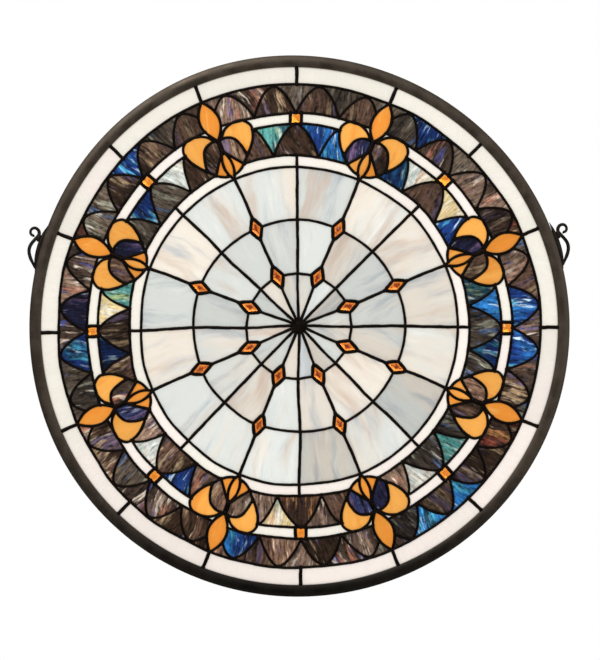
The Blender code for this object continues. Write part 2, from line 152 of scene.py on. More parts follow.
# How far out of the strip's foot the bow starts, and how deep it sinks where it comes down
BOW_START = 0.0012
BOW_SINK = 0.0006
# The drop of braze: its place along the bow, how far it stands off the strip, its half-axes
BRAZE_PLACE = 0.82
BRAZE_OUT = 0.0006
BRAZE_SIZES = (0.0023, 0.0048, 0.0026)

# The hand-bent rim, as (waves round the ring, their share of the radius, degrees of phase)
OUT_OF_ROUND = ((2, 0.0024, -65), (3, 0.0043, -74), (4, 0.0019, -134))

# Waves along a bead of solder, as (radians a metre, share of the waver), how far it strays
# sideways as a share of its width, and how deep it sits in the glass
BEAD_WAVES = ((180.0, 0.5), (410.0, 0.3), (760.0, 0.2))
BEAD_SWAY = 0.06
BEAD_SINK = 0.0001
# How much beads swell at the middle of the disc, how fast that falls off, and the drop there
HUB_SWELL, HUB_REACH, HUB_DROP = 0.3, 0.016, 0.0066
# Seams meet where their ends share a cell of this size, and where they pass this near
MEETING_CELL = 0.0024
MEETING_REACH = 0.0016
# Corners between seams are filled over this reach where they open by an angle between these
FILL_REACH = 0.014
FILL_ANGLES = (0.02, 1.15)

# How far a pane's grain strays from pointing outwards, and how far apart panes are cut
GRAIN_SPREAD = 0.16
SHEET_SPREAD = 3

# Points of an outline nearer than this are one, and corners that bend less are left out
SAME_POINT = 1e-6
LEAST_BEND = 1e-4

# Spacing of the points along a line, and number of points round a whole ring
PATH_STEP = 0.0026
RING_POINTS = 360
SEED = 7

# The stage: its floor, its camera, and its lights as (name, place, size, power)
FLOOR_RADIUS = 2.4
FLOOR_POINTS = 96
SENSOR_WIDTH = 36
LIGHTS = (
    ("key", (-0.9, -2.4, 1.7), 1.5, 32),
    ("fill", (1.8, -2.0, 0.2), 1.8, 8),
    ("back", (0.6, 2.4, 1.0), 1.8, 40),
)


def linear(code):
    """A colour written as six hex digits, as linear light."""
    shades = np.array([int(code[i : i + 2], 16) for i in (0, 2, 4)]) / 255
    low, high = shades / 12.92, ((shades + 0.055) / 1.055) ** 2.4
    return tuple(np.where(shades < 0.04045, low, high))


# Colours of the sheets of glass: ground, second, streak, accent and light wisps
SHEETS = {
    "umber": ("302117", "705444", "9c8366", "64566c", "dac6a8"),
    "mauve": ("42342b", "8a705f", "4a5292", "b4765f", "e6d6c2"),
    "slate": ("302822", "605346", "8c8a7a", "4f668c", "c2beb0"),
    "cobalt": ("16306a", "2a70b2", "0e1228", "4aa4c2", "bcd8ea"),
    "violet": ("1c1c38", "383e68", "16121e", "745c7e", "a8aec6"),
    "aqua": ("1f4658", "52928c", "1c2444", "a0ac6c", "d8e4d8"),
    "pearl": ("d4d8d0", "ecd49c", "8fb0a8", "dcb08c", "f6f2e8"),
    "rust": ("2c1e18", "5c4030", "9c6c42", "74382c", "dcbc98"),
    "cream": ("f6ece4", "f0ebdf", "ede4d8", "f2e6dc", "f9f3ed"),
    "milky": ("dcdfda", "e9e0d2", "aeb6bc", "ccb6a4", "f2f0ea"),
    "amber": ("fdb254", "f4983a", "ee9234", "f0a040", "ffc068"),
}

SHEET_PARTS = ("ground", "second", "streak", "accent", "light")

# How those colours are streaked: the width of a band of colour, the level and share of the
# streaks and accents, the same of the light wisps, how softly they end, how deep the fibres are,
# how much a whole pane leans to one colour, and how much panes differ in depth
STREAK_VALUES = (
    "Band", "Streak Level", "Streak Share", "Light Level", "Light Share", "Softness", "Fibre",
    "Lean", "Depth",
)
STREAKS = {
    "umber": (0.012, 0.54, 0.8, 0.60, 0.6, 0.10, 0.8, 0.4, 0.5),
    "mauve": (0.011, 0.56, 0.7, 0.56, 0.7, 0.10, 0.8, 0.4, 0.3),
    "slate": (0.012, 0.54, 0.8, 0.60, 0.6, 0.10, 0.8, 0.4, 0.5),
    "cobalt": (0.011, 0.53, 0.8, 0.56, 0.8, 0.10, 0.8, 0.5, 0.6),
    "violet": (0.011, 0.53, 0.8, 0.57, 0.7, 0.10, 0.8, 0.4, 0.5),
    "aqua": (0.012, 0.53, 0.8, 0.54, 0.7, 0.12, 0.7, 0.4, 0.3),
    "pearl": (0.010, 0.54, 0.7, 0.52, 0.7, 0.12, 0.4, 0.9, 0.1),
    "rust": (0.011, 0.54, 0.8, 0.60, 0.6, 0.10, 0.8, 0.4, 0.4),
    "cream": (0.050, 0.58, 0.5, 0.58, 0.5, 0.20, 0.03, 0.6, 0.2),
    "milky": (0.026, 0.50, 0.8, 0.53, 0.6, 0.22, 0.02, 0.4, 0.20),
    "amber": (0.016, 0.54, 0.5, 0.58, 0.5, 0.10, 0.04, 0.4, 0.1),
}

# How far the panes of these zones lean to their sheet's second colour, from 0 to 1
LEANS = {"leaf": 0.95, "petal": 0.15, "foot": 0.7}

# How bright the panes of these zones are among their sheet's, lowest and highest, from 0 to 1
DEPTHS = {
    "band": (0.75, 0.95), "border": (0.5, 0.75), "outer_gusset": (0, 0.9), "leaf_gusset": (0, 0.8),
}

# Which sheets each zone of the window is cut from, with how often
ZONES = {
    "outer_scale": {"umber": 0.5, "slate": 0.14, "mauve": 0.14, "cobalt": 0.08, "violet": 0.06,
                    "rust": 0.08},
    "outer_gusset": {"slate": 0.25, "cobalt": 0.25, "mauve": 0.2, "violet": 0.15, "umber": 0.15},
    "leaf_gusset": {"slate": 0.5, "mauve": 0.3, "rust": 0.2},
    "inner_scale": {"umber": 0.6, "slate": 0.28, "rust": 0.12},
    "petal_scale": {"umber": 0.3, "slate": 0.2, "cobalt": 0.15, "mauve": 0.2, "aqua": 0.15},
    "inner_gusset": {"pearl": 0.38, "cobalt": 0.25, "aqua": 0.17, "mauve": 0.2},
    "heart": {"umber": 0.5, "slate": 0.2, "violet": 0.15, "mauve": 0.15},
    "border": {"cream": 1},
    "band": {"cream": 1},
    "web": {"milky": 1},
    "leaf": {"amber": 1},
    "petal": {"amber": 1},
    "foot": {"amber": 1},
}


# Streaky glass: how far its bands wander, how far they are drawn out, where the second colour
# takes over from the ground, and how fine the fibres are across and along
BAND_WANDER = 0.024
BAND_STRETCH = 0.18
SECOND_STEP = (0.42, 0.60)
FIBRE_SCALE = (380.0, 60.0)
DARKEST_FIBRE = 0.12
# Painted shade beside the solder: how near it darkens the glass, and how much, as a step of the
# share of open sky there
PAINTED_SHADE_REACH = 0.009
PAINTED_SHADE_STEP = (0.66, 1.0, 0.5, 1.0)

# Each metal's patina and painted shade: its material's name, how fine its clouds are, how much
# worn colour shows, the share of the colour left at the foot of the window under painted shade,
# and plain values of the shader
METALS = {
    "rim": ("rim_bronze", 45, 0.5, 0.12, {"Metallic": 0.75}),
    "hanger": ("hanger_bronze", 90, 0.5, 1, {"Metallic": 0.75}),
    "solder": ("black_solder", 160, 0.6, 0.9, {"Metallic": 0.6, "Specular IOR Level": 0.2}),
}


def length(name, default, description):
    return bpy.props.FloatProperty(
        name=name, description=description, default=default, min=0, unit="LENGTH", precision=5
    )


def share(name, default, description):
    return bpy.props.FloatProperty(
        name=name, description=description, default=default, min=0, max=1, subtype="FACTOR"
    )


def colour(name, default, description):
    return bpy.props.FloatVectorProperty(
        name=name, description=description, default=default, size=3, min=0, max=1,
        subtype="COLOR",
    )


def angle_of(name, degrees, description):
    return bpy.props.FloatProperty(
        name=name, description=description, default=math.radians(degrees), subtype="ANGLE"
    )


class SeamSizes(bpy.types.PropertyGroup):
    """Beads of solder between the panes"""

    ring: length("Rings", 0.0031, "Width of the ring seams")
    arch: length("Arches", 0.0028, "Width of the seams round the scales")
    flower: length("Flowers", 0.0033, "Width of the seams round the flower's pieces")
    spoke: length("Spokes", 0.0036, "Width of the spokes")
    hub: length("Hub spokes", 0.0031, "Width of the spokes inside the inner ring")
    stem: length("Stems", 0.0062, "Width of the seam in the middle of a flower")
    jewel: length("Jewels", 0.0042, "Width of the seams round the jewels")
    joint: length("Border joints", 0.0042, "Width of the seams between the border panes")
    fill: length("Fill", 0.0011, "Gap between two beads that solder still fills")
    height: length("Height", 0.0014, "Rise of a bead over the glass in front")
    back_height: length("Height behind", 0.0010, "Rise of a bead over the glass behind")
    waver: share("Waver", 0.09, "How much a bead's width wavers, as a share of it")


class GlassSizes(bpy.types.PropertyGroup):
    """Panes and jewels"""

    thickness: length("Thickness", 0.0032, "Thickness of the sheet glass")
    gap: length("Gap", 0.0003, "Room between two panes, under the solder")
    crown: length("Jewel crown", 0.0024, "Rise of a jewel's top over the face of the glass")


class HandWork(bpy.types.PropertyGroup):
    """How far the pieces lie from where they were drawn"""

    sag: angle_of("Sag", 0.9, "Turn of the outer pieces at either side, downwards")
    waver: length("Waver", 0.0005, "Size of the small errors of place")
    bend: share("Out of round", 1, "How far the rim and the rings are out of round")


class HangerSizes(bpy.types.PropertyGroup):
    """Scroll hangers on the rim"""

    wire: length("Wire", 0.0040, "Thickness of the scroll's wire")
    strip: length("Strip", 0.0052, "Thickness of the strip on the rim")
    strip_width: length("Strip width", 0.0060, "Width of the strip, front to back")
    below: length("Below", 0.0224, "Reach of the strip below the loop's middle")
    above: length("Above", 0.0314, "Reach of the strip above the loop's middle")
    bow: length("Half bow", 0.0188, "Half the length of the bow")
    rise: length("Rise", 0.0088, "Rise of the bow over the strip")
    curl: length("Curl", 0.0058, "Radius of the curl at its start")
    left_straight: share("Left straight", 0.4, "How straight the left strip stays along the rim")
    right_straight: share("Right straight", 1, "How straight the right strip stays along the rim")


def sheet_colours():
    """One colour property for each of a sheet's colours."""
    return {
        f"{sheet}_{part}": colour(
            f"{sheet.title()} {part}", linear(code), f"{part.title()} colour of the {sheet} glass"
        )
        for sheet, codes in SHEETS.items()
        for part, code in zip(SHEET_PARTS, codes)
    }


class GlassColours(bpy.types.PropertyGroup):
    """Colours of the sheets of glass"""

    __annotations__ = sheet_colours()


class MetalColours(bpy.types.PropertyGroup):
    """Colours of the rim, the hangers, the solder and the jewels"""

    rim: colour("Rim", linear("584d42"), "Dark bronze of the rim")
    rim_worn: colour("Rim worn", linear("74685a"), "Bronze where the patina is thin")
    hanger: colour("Hangers", linear("27221e"), "Blackened wire and strips of the hangers")
    hanger_worn: colour("Hangers worn", linear("443c34"), "Hangers where the patina is thin")
    solder: colour("Solder", linear("100a06"), "Blackened solder")
    solder_worn: colour("Solder worn", linear("281c13"), "Solder where the patina is thin")
    web_jewel: colour("Web jewels", linear("f8963c"), "Thin glass of the jewels in the web")
    web_jewel_deep: colour("Web jewels deep", linear("6e2810"), "Thick glass of the web's jewels")
    square_jewel: colour("Square jewels", linear("f7a43c"), "Thin glass of the square jewels")
    square_jewel_deep: colour("Square jewels deep", linear("dc8424"), "Thick glass of the squares")


class StageSettings(bpy.types.PropertyGroup):
    """Camera, floor and lights"""

    lens: bpy.props.FloatProperty(
        name="Lens", description="Focal length", default=120, min=1, unit="CAMERA"
    )
    photo_height: length("Field", 0.7429, "Height of the view at the window")
    right: length("Right", 0.0018, "How far the camera stands right of the middle")
    below: length("Below", 0.0041, "How far the camera stands below the middle")
    roll: angle_of("Roll", 0.55, "Roll of the camera")
    drop: length("Floor", 1.60, "Depth of the floor below the middle of the window")
    floor: colour("Floor", linear("f1efec"), "Pale floor")


class WindowSettings(bpy.types.PropertyGroup):
    """Everything that can be changed about the window"""

    hand: bpy.props.PointerProperty(type=HandWork, name="Hand")
    seams: bpy.props.PointerProperty(type=SeamSizes, name="Seams")
    glass: bpy.props.PointerProperty(type=GlassSizes, name="Glass")
    hangers: bpy.props.PointerProperty(type=HangerSizes, name="Hangers")
    glass_colours: bpy.props.PointerProperty(type=GlassColours, name="Glass colours")
    metal_colours: bpy.props.PointerProperty(type=MetalColours, name="Metal colours")
    stage: bpy.props.PointerProperty(type=StageSettings, name="Stage")


def settings():
    return bpy.context.scene.medallion_window


# Flat drawing


def polar(radius, angle):
    """Points at these radii and angles."""
    return np.stack(np.broadcast_arrays(radius * np.sin(angle), radius * np.cos(angle)), -1)


def whole_turn(count):
    """Evenly spaced angles, once round."""
    return np.linspace(0, 2 * math.pi, count + 1)[:-1]


def level_radius(level):
    """Radius at this level, where each whole level is the next ring out from the web."""
    return np.interp(level, range(len(LEVELS)), LEVELS)


def distances(path):
    """How far along the path each of its points lies."""
    return np.concatenate([[0], np.cumsum(np.hypot(*np.diff(path, axis=0).T))])


def resampled(path, along, where):
    """The path at other places, given the places of its own points."""
    return np.column_stack([np.interp(where, along, column) for column in path.T])


def arc(radius, start, end):
    """Evenly spaced points of a circle round the middle."""
    count = max(2, int(abs(end - start) * radius / PATH_STEP) + 2)
    return polar(radius, np.linspace(start, end, count))


def spots(spread, shares):
    """Points given as (share of the spread across the axis, level between the rings)."""
    across, level = np.array(shares, float).T
    across = across * spread
    return np.column_stack([across, np.sqrt(level_radius(level) ** 2 - across**2)])


def straight(start, end):
    """Evenly spaced points from one point to another."""
    start, end = np.asarray(start, float), np.asarray(end, float)
    count = max(2, int(np.hypot(*(end - start)) / PATH_STEP) + 2)
    return start + (end - start) * np.linspace(0, 1, count)[:, None]


def smooth(points):
    """A cubic through the points, whose tangent at each is the mean of its two chords' slopes,
    where the shorter chord counts for more."""
    points = np.asarray(points, float)
    steps = np.diff(points, axis=0)
    lengths = np.hypot(*steps.T)
    along = distances(points)
    weights = lengths[:, None]
    slopes = steps / weights
    inner = (slopes[:-1] * weights[1:] + slopes[1:] * weights[:-1]) / (weights[1:] + weights[:-1])
    first, last = (3 * slopes[0] - inner[0]) / 2, (3 * slopes[-1] - inner[-1]) / 2
    tangents = np.vstack([first, inner, last])
    where = np.linspace(0, along[-1], max(6, int(along[-1] / PATH_STEP) + 2))
    i = np.clip(np.searchsorted(along, where, side="right") - 1, 0, len(lengths) - 1)
    t, h = ((where - along[i]) / lengths[i])[:, None], lengths[i][:, None]
    return (
        (2 * t**3 - 3 * t**2 + 1) * points[i]
        + (t**3 - 2 * t**2 + t) * h * tangents[i]
        + (3 * t**2 - 2 * t**3) * points[i + 1]
        + (t**3 - t**2) * h * tangents[i + 1]
    )


def lens_side(width, levels, start, end):
    """Right side of a pointed oval on the axis: its half-width is 2 * width * s * (1 - s)."""
    top, foot = level_radius(levels)
    count = max(3, int(abs(end - start) * (top - foot) / PATH_STEP) + 2)
    s = np.linspace(start, end, count)
    return np.column_stack([width * 2 * s * (1 - s), top + (foot - top) * s])


def leaf_side(start, end):
    """Part of the leaf's right side, which runs from 0 at its tip to 1 at its foot."""
    return lens_side(LEAF_WIDTH, LEAF_LEVELS, start, end)


def foot_side(start, end):
    """The same of the flower's foot."""
    return lens_side(FOOT_WIDTH, FOOT_LEVELS, start, end)


def scale_edge(peak, half, top, foot, power, start, end):
    """A scale's rounded edge: radius falls from top to foot as |share| to the power."""
    count = max(3, int(abs(end - start) * half * top / PATH_STEP * 1.6) + 2)
    way = np.linspace(start, end, count)
    return polar(top - (top - foot) * np.abs(way) ** power, peak + half * way)


def outer_scale(peak, start, end):
    """The edge of an outer scale whose peak stands this many scales from the flower's axis."""
    peak = SCALE_ANGLE * peak
    return scale_edge(
        peak, SCALE_ANGLE / 2, RING_BORDER - SCALE_DROP, RING_SCALE, OUTER_SCALE_POWER, start, end
    )


def gusset(peak):
    """Outline of the gusset between the outer scale with this peak and the next, in parts."""
    start, end = peak + GUSSET_CUT / 2, peak + 1 - GUSSET_CUT / 2
    return (
        outer_scale(peak, GUSSET_CUT, 1),
        outer_scale(peak + 1, -1, -GUSSET_CUT)[1:],
        arc(RING_BORDER, SCALE_ANGLE * end, SCALE_ANGLE * start),
    )


def inner_scale(start, end):
    """The edge of the scale between two flowers."""
    return scale_edge(
        EDGE, INNER_SCALE_HALF_ANGLE, RING_WHITE, RING_INNER, INNER_SCALE_POWER, start, end
    )


def petal_scale(start, end):
    """The edge that runs from under the petal down to the inner ring."""
    peak = angle_at(spots(PETAL_SPREAD * 0.985, [(1, 2)])[0])
    half = EDGE - INNER_SCALE_HALF_ANGLE - peak
    return scale_edge(peak, half, RING_WHITE, RING_INNER, PETAL_SCALE_POWER, start, end)


def angle_at(point):
    """The point's angle, clockwise from the top."""
    return math.atan2(point[0], point[1])


def mirrored(outline):
    """The outline's other half, with its points in the opposite order."""
    return outline[::-1] * (-1, 1)


def turned(outline, angle):
    """The points turned clockwise by the angle."""
    c, s = math.cos(angle), math.sin(angle)
    return np.asarray(outline) @ np.array([[c, -s], [s, c]])


def bent(flat):
    """The points moved out or in with the rim's bend, by a share of their distance from the
    middle that is a sum of cosines of their angle."""
    turn = np.arctan2(flat[..., 0], flat[..., 1])
    swell = sum(
        part * np.cos(waves * turn - math.radians(phase)) for waves, part, phase in OUT_OF_ROUND
    )
    return flat * (1 + settings().hand.bend * swell)[..., None]


def settled(outline):
    """Where the glazier's hand left the points. Each is turned clockwise round the middle by
    the sag times the sine of its angle, less and less within 0.2 m of it, moved by the waver
    times sines of its own place, and moved with the rim's bend."""
    hand = settings().hand
    outline = np.asarray(outline, float)
    x, y = outline.T
    radius = np.hypot(x, y)
    turn = hand.sag * np.minimum(1, radius / 0.2) * x / np.maximum(radius, 0.001)
    c, s = np.cos(turn), np.sin(turn)
    moved = np.column_stack([x * c + y * s, y * c - x * s])
    waves = np.sin(outline[:, ::-1] * 47 + 1.3) + np.sin((x - y)[:, None] * 61 + [0.4, 2.1])
    return bent(moved + hand.waver * waves)


def leaf_meets_scale():
    """The share of the first scale's edge, and of the leaf's side, at which the two cross."""
    way = np.linspace(-1, 0, 400)
    edge = outer_scale(0.5, -1, 0)
    edge = resampled(edge, np.linspace(-1, 0, len(edge)), way)
    top, foot = level_radius(LEAF_LEVELS)
    down = (top - edge[:, 1]) / (top - foot)
    outside = edge[:, 0] > LEAF_WIDTH * 2 * down * (1 - down)
    first = np.argmax(outside)
    return way[first], down[first]


def leaf_meets_ring(radius):
    """The share of the leaf's side at which it crosses the ring."""
    side = leaf_side(0, 1)
    return np.interp(radius, np.hypot(*side.T)[::-1], np.linspace(1, 0, len(side)))


def diamond_outline():
    """The corners of a web jewel, from its right one."""
    across, along = WEB_JEWEL_WIDTH, WEB_JEWEL_LENGTH
    return np.array([(across, 0), (0, along), (-across, 0), (0, -along)]) / 2


def diamond_seam():
    """The diamond with its sides bowed out by a share of their length."""
    corners = diamond_outline()
    way = np.linspace(0, 1, 5)[:-1, None]
    sides = [
        a + (b - a) * way + (a + b) / 2 * JEWEL_SEAM_BULGE * 4 * way * (1 - way)
        for a, b in zip(corners, np.roll(corners, -1, axis=0))
    ]
    return np.concatenate(sides)


def square_outline(half, power):
    """A rounded square: its radius is half over (|cos|^power + |sin|^power)^(1/power)."""
    turn = whole_turn(16) + math.pi / 16
    reach = (np.abs(np.cos(turn)) ** power + np.abs(np.sin(turn)) ** power) ** (-1 / power)
    return polar(half * reach, turn)


def petal_split():
    """The petal's outer curve, cut where it leaves the outer ring and where it meets the next."""
    outer = smooth(spots(PETAL_SPREAD, PETAL_OUTER))
    radius = np.hypot(*outer.T)
    rising = np.argmax(radius)
    fall = outer[rising:]
    meets = rising + np.argmax(np.hypot(*fall.T) < RING_WHITE)
    return outer, rising, meets


def sector_seams():
    """Middle lines of the seams of one flower's share, with the kind of each."""
    crossing = leaf_meets_scale()[0]
    outer, _, meets = petal_split()
    corner, heart_foot = spots(WING_SPREAD, [WING_CORNER, HEART_FOOT])
    leaf_angle = angle_at(leaf_side(0, leaf_meets_ring(RING_SCALE))[-1])
    right = [
        ("flower", leaf_side(0, 1)),
        ("flower", outer),
        ("flower", smooth(spots(PETAL_SPREAD, PETAL_INNER))),
        ("flower", straight(spots(PETAL_SPREAD, PETAL_OUTER[-1:])[0], corner)),
        ("flower", straight(heart_foot, corner)),
        ("flower", smooth(spots(WING_SPREAD, WING_UNDER))),
        ("flower", foot_side(0, 1)),
        ("arch", outer_scale(0.5, crossing, 1)),
        ("arch", outer_scale(1.5, -1, 1)),
        ("arch", petal_scale(0, 1)),
        ("ring", arc(RING_SCALE, leaf_angle, EDGE)),
        ("ring", arc(RING_WHITE, angle_at(outer[meets]), EDGE)),
        ("ring", arc(RING_INNER, angle_at(corner), EDGE)),
        ("ring", arc(RING_WEB_OUTER, JEWEL_ANGLES[0], EDGE)),
        ("ring", straight(polar(RING_WEB_INNER, JEWEL_ANGLES[1]), polar(RING_WEB_INNER, EDGE))),
    ]
    half = WHITE_WIDTH / 2
    low, high = (math.sqrt(radius**2 - half**2) for radius in (RING_WHITE, RING_SCALE))
    right.append(("jewel", turned(straight((-half, low), (-half, high)), EDGE)))
    stem = level_radius((LEAF_LEVELS[1], FOOT_LEVELS[0]))
    middle = [
        ("arch", inner_scale(-1, 1)),
        ("spoke", straight(polar(RING_INNER, EDGE), polar(RING_WEB, EDGE))),
        ("spoke", straight(polar(RING_WEB, EDGE), polar(RING_WEB_OUTER, EDGE))),
        ("spoke", straight(polar(RING_WEB_OUTER, EDGE), polar(RING_WEB_INNER, EDGE))),
        ("hub", straight(polar(RING_WEB_INNER, EDGE), (0, 0))),
        ("spoke", straight((0, RING_WEB), (0, RING_WEB_OUTER + JEWEL_REACH))),
        ("spoke", straight((0, RING_WEB_OUTER - JEWEL_REACH), (0, RING_WEB_INNER + JEWEL_REACH))),
        ("hub", straight((0, RING_WEB_INNER - JEWEL_REACH), (0, 0))),
        ("joint", straight((0, RING_BORDER), (0, RIM_LIP))),
        ("joint", straight(polar(RING_BORDER, EDGE), polar(RIM_LIP, EDGE))),
        ("stem", straight((0, stem[0]), (0, stem[1]))),
    ]
    return right + [(kind, mirrored(path)) for kind, path in right] + middle


def closed_seams():
    """Seams that close on themselves: two whole rings and the outlines of the jewels."""
    seams = [("ring", polar(ring, whole_turn(RING_POINTS))) for ring in (RING_BORDER, RING_WEB)]
    diamond = diamond_seam()
    for i in range(FLOWERS):
        turn = SECTOR * (i + 0.5)
        seams += [
            ("jewel", turned(diamond + (0, radius), turn))
            for radius in (RING_WEB_OUTER, RING_WEB_INNER)
        ]
    return seams


def sector_panes():
    """Outlines of the panes of one flower's share, each with its zone."""
    crossing, down = leaf_meets_scale()
    outer, rising, meets = petal_split()
    inner = smooth(spots(PETAL_SPREAD, PETAL_INNER))
    corner = spots(WING_SPREAD, [WING_CORNER])
    heart = spots(WING_SPREAD, [HEART_TOP, HEART_FOOT])
    under = smooth(spots(WING_SPREAD, WING_UNDER))
    leaf_ring = leaf_meets_ring(RING_SCALE)
    leaf_angle = angle_at(leaf_side(0, leaf_ring)[-1])
    slip_foot = leaf_meets_ring(np.hypot(*outer[0]))
    square_side = math.asin(WHITE_WIDTH / 2 / RING_SCALE)
    petal_angle, wing_angle = angle_at(outer[rising]), angle_at(corner[0])
    meets_angle = angle_at(outer[meets])
    inner_ring = polar(RING_WEB_INNER, np.array([JEWEL_ANGLES[1], EDGE]))
    foot_angle = EDGE - INNER_SCALE_HALF_ANGLE
    axis = np.zeros((1, 2))
    right = [
        ("outer_scale", outer_scale(0.5, 1, crossing), leaf_side(down, leaf_ring)[1:],
         arc(RING_SCALE, leaf_angle, SCALE_ANGLE)[1:-1]),
        ("outer_scale", outer_scale(1.5, 1, -1), arc(RING_SCALE, SCALE_ANGLE, EDGE)[1:-1]),
        ("outer_gusset", *gusset(0.5)),
        ("leaf_gusset", leaf_side(0.01, down), outer_scale(0.5, crossing, -GUSSET_CUT)[1:],
         arc(RING_BORDER, SCALE_ANGLE * (0.5 - GUSSET_CUT / 2), 0.006)),
        ("petal", outer, inner[1:-1]),
        ("heart", heart[:1], inner[-3:0:-1], inner[:1], corner, heart[1:]),
        ("foot", heart[1:], under, foot_side(0.72, 0.06)),
        ("band", leaf_side(slip_foot, leaf_ring),
         arc(RING_SCALE, leaf_angle, petal_angle)[1:], outer[rising:0:-1]),
        ("band", outer[rising : meets + 1],
         arc(RING_WHITE, meets_angle, EDGE - square_side)[1:],
         arc(RING_SCALE, EDGE - square_side, petal_angle)[:-1]),
        ("petal_scale", petal_scale(0, 1), arc(RING_INNER, foot_angle, wing_angle)[1:-1],
         corner, outer[:meets:-1]),
        ("inner_gusset", petal_scale(1, 0), arc(RING_WHITE, meets_angle, EDGE)[1:-1],
         inner_scale(0, -1)[:-1]),
        ("band", arc(RING_INNER, wing_angle, EDGE), arc(RING_WEB, EDGE, 0.004), under[::-1][:-1]),
        ("web", arc(RING_WEB, 0, EDGE), arc(RING_WEB_OUTER, EDGE, JEWEL_ANGLES[0]),
         axis + (0, RING_WEB_OUTER + JEWEL_REACH)),
        ("web", arc(RING_WEB_OUTER, JEWEL_ANGLES[0], EDGE), inner_ring[::-1],
         axis + (0, RING_WEB_INNER + JEWEL_REACH), axis + (0, RING_WEB_OUTER - JEWEL_REACH)),
        ("web", inner_ring, axis, axis + (0, RING_WEB_INNER - JEWEL_REACH)),
        ("border", arc(RIM_LIP + 0.006, 0, EDGE), arc(RING_BORDER, EDGE, 0)),
    ]
    right = [(zone, np.concatenate(parts)) for zone, *parts in right]
    leaf, foot = leaf_side(0.01, 0.99), foot_side(0.02, 0.98)
    middle = [
        ("leaf", np.concatenate([leaf, mirrored(leaf)])),
        ("foot", np.concatenate([foot, mirrored(foot)])),
        ("outer_gusset", np.concatenate(gusset(1.5))),
        ("inner_scale", np.concatenate([
            inner_scale(-1, 1),
            arc(RING_INNER, EDGE + INNER_SCALE_HALF_ANGLE, EDGE - INNER_SCALE_HALF_ANGLE)[1:-1],
        ])),
    ]
    return right + [(zone, mirrored(outline)) for zone, outline in right] + middle


def crossings(normals, offsets):
    """Where each line meets the one before it. A line holds the points whose product with its
    normal is its offset."""
    x, y = normals.T
    xb, yb, before = np.roll(x, 1), np.roll(y, 1), np.roll(offsets, 1)
    scale = xb * y - yb * x
    return np.column_stack(
        [(before * y - offsets * yb) / scale, (offsets * xb - before * x) / scale]
    )


def edge_directions(points):
    """Unit vectors from each point of an outline to the next."""
    edges = np.roll(points, -1, axis=0) - points
    return edges / np.hypot(*edges.T)[:, None]


def inset(outline, distance):
    """The outline drawn in by the distance on every side, its points running anticlockwise.

    Each edge's line is shifted along its normal and meets its neighbours' shifted lines.
    The edge that shrinks to nothing first is left out, until none is left that would turn
    round.
    """
    points = np.asarray(outline, float)
    points = points[np.hypot(*(points - np.roll(points, 1, axis=0)).T) > SAME_POINT]
    x, y = points.T
    if x @ np.roll(y, -1) < y @ np.roll(x, -1):
        points = points[::-1]
    along = edge_directions(points)
    before = np.roll(along, 1, axis=0)
    bend = np.abs(before[:, 0] * along[:, 1] - before[:, 1] * along[:, 0])
    points = points[bend > LEAST_BEND]
    along = edge_directions(points)
    normals = np.column_stack([-along[:, 1], along[:, 0]])
    offsets = (points * normals).sum(1)
    while True:
        was, now = (crossings(normals, offsets + d) for d in (0, distance))
        span, left = (
            ((np.roll(corner, -1, axis=0) - corner) * along).sum(1) for corner in (was, now)
        )
        if (left > 0).all():
            return now
        lost = np.where(span > 0, span / np.maximum(span - left, 1e-12), 0)
        first = np.argmin(np.where(left > 0, np.inf, lost))
        along, normals, offsets = (
            np.delete(rows, first, axis=0) for rows in (along, normals, offsets)
        )


# Meshes, as (points, list of index arrays whose rows are faces of one size)


def raised(flat, forward):
    """Flat points at these distances in front of the window's middle plane."""
    flat = np.asarray(flat, float)
    forward = np.broadcast_to(forward, flat.shape[:-1])
    return np.stack([flat[..., 0], -forward, flat[..., 1] + CENTRE_Z], -1)


def facing_out(points, faces):
    """The closed mesh with its faces turned outwards, by the sign of its volume."""
    volume = sum(
        (points[f[:, 0]] * np.cross(points[f[:, k]], points[f[:, k + 1]])).sum()
        for f in faces
        for k in range(1, f.shape[1] - 1)
    )
    return points, faces if volume > 0 else [f[:, ::-1] for f in faces]


def skin(grid, wraps):
    """Quads over a grid of points whose rows close on themselves. Unless it wraps along its
    columns too, its first and last rows are filled."""
    rows, columns = grid.shape[:2]
    index = np.arange(rows * columns).reshape(rows, columns)
    follows = np.roll(index, -1, axis=0) if wraps else index[1:]
    starts = index if wraps else index[:-1]
    quads = np.stack(
        [starts, np.roll(starts, -1, axis=1), np.roll(follows, -1, axis=1), follows], -1
    )
    faces = [quads.reshape(-1, 4)]
    if not wraps:
        faces += [index[:1, ::-1], index[-1:]]
    return facing_out(grid.reshape(-1, 3), faces)


def sweep(path, across, forward, wraps=False):
    """A section carried along a flat path. Row i of across and forward is the section at point
    i: distances to the left of the path, and in front of the window's middle plane."""
    after, before = np.roll(path, -1, axis=0), np.roll(path, 1, axis=0)
    if not wraps:
        after[-1], before[0] = path[-1], path[0]
    along = after - before
    along /= np.hypot(*along.T)[:, None]
    left = np.column_stack([-along[:, 1], along[:, 0]])
    flat = path[:, None] + left[:, None] * across[..., None]
    return skin(raised(flat, forward), wraps)


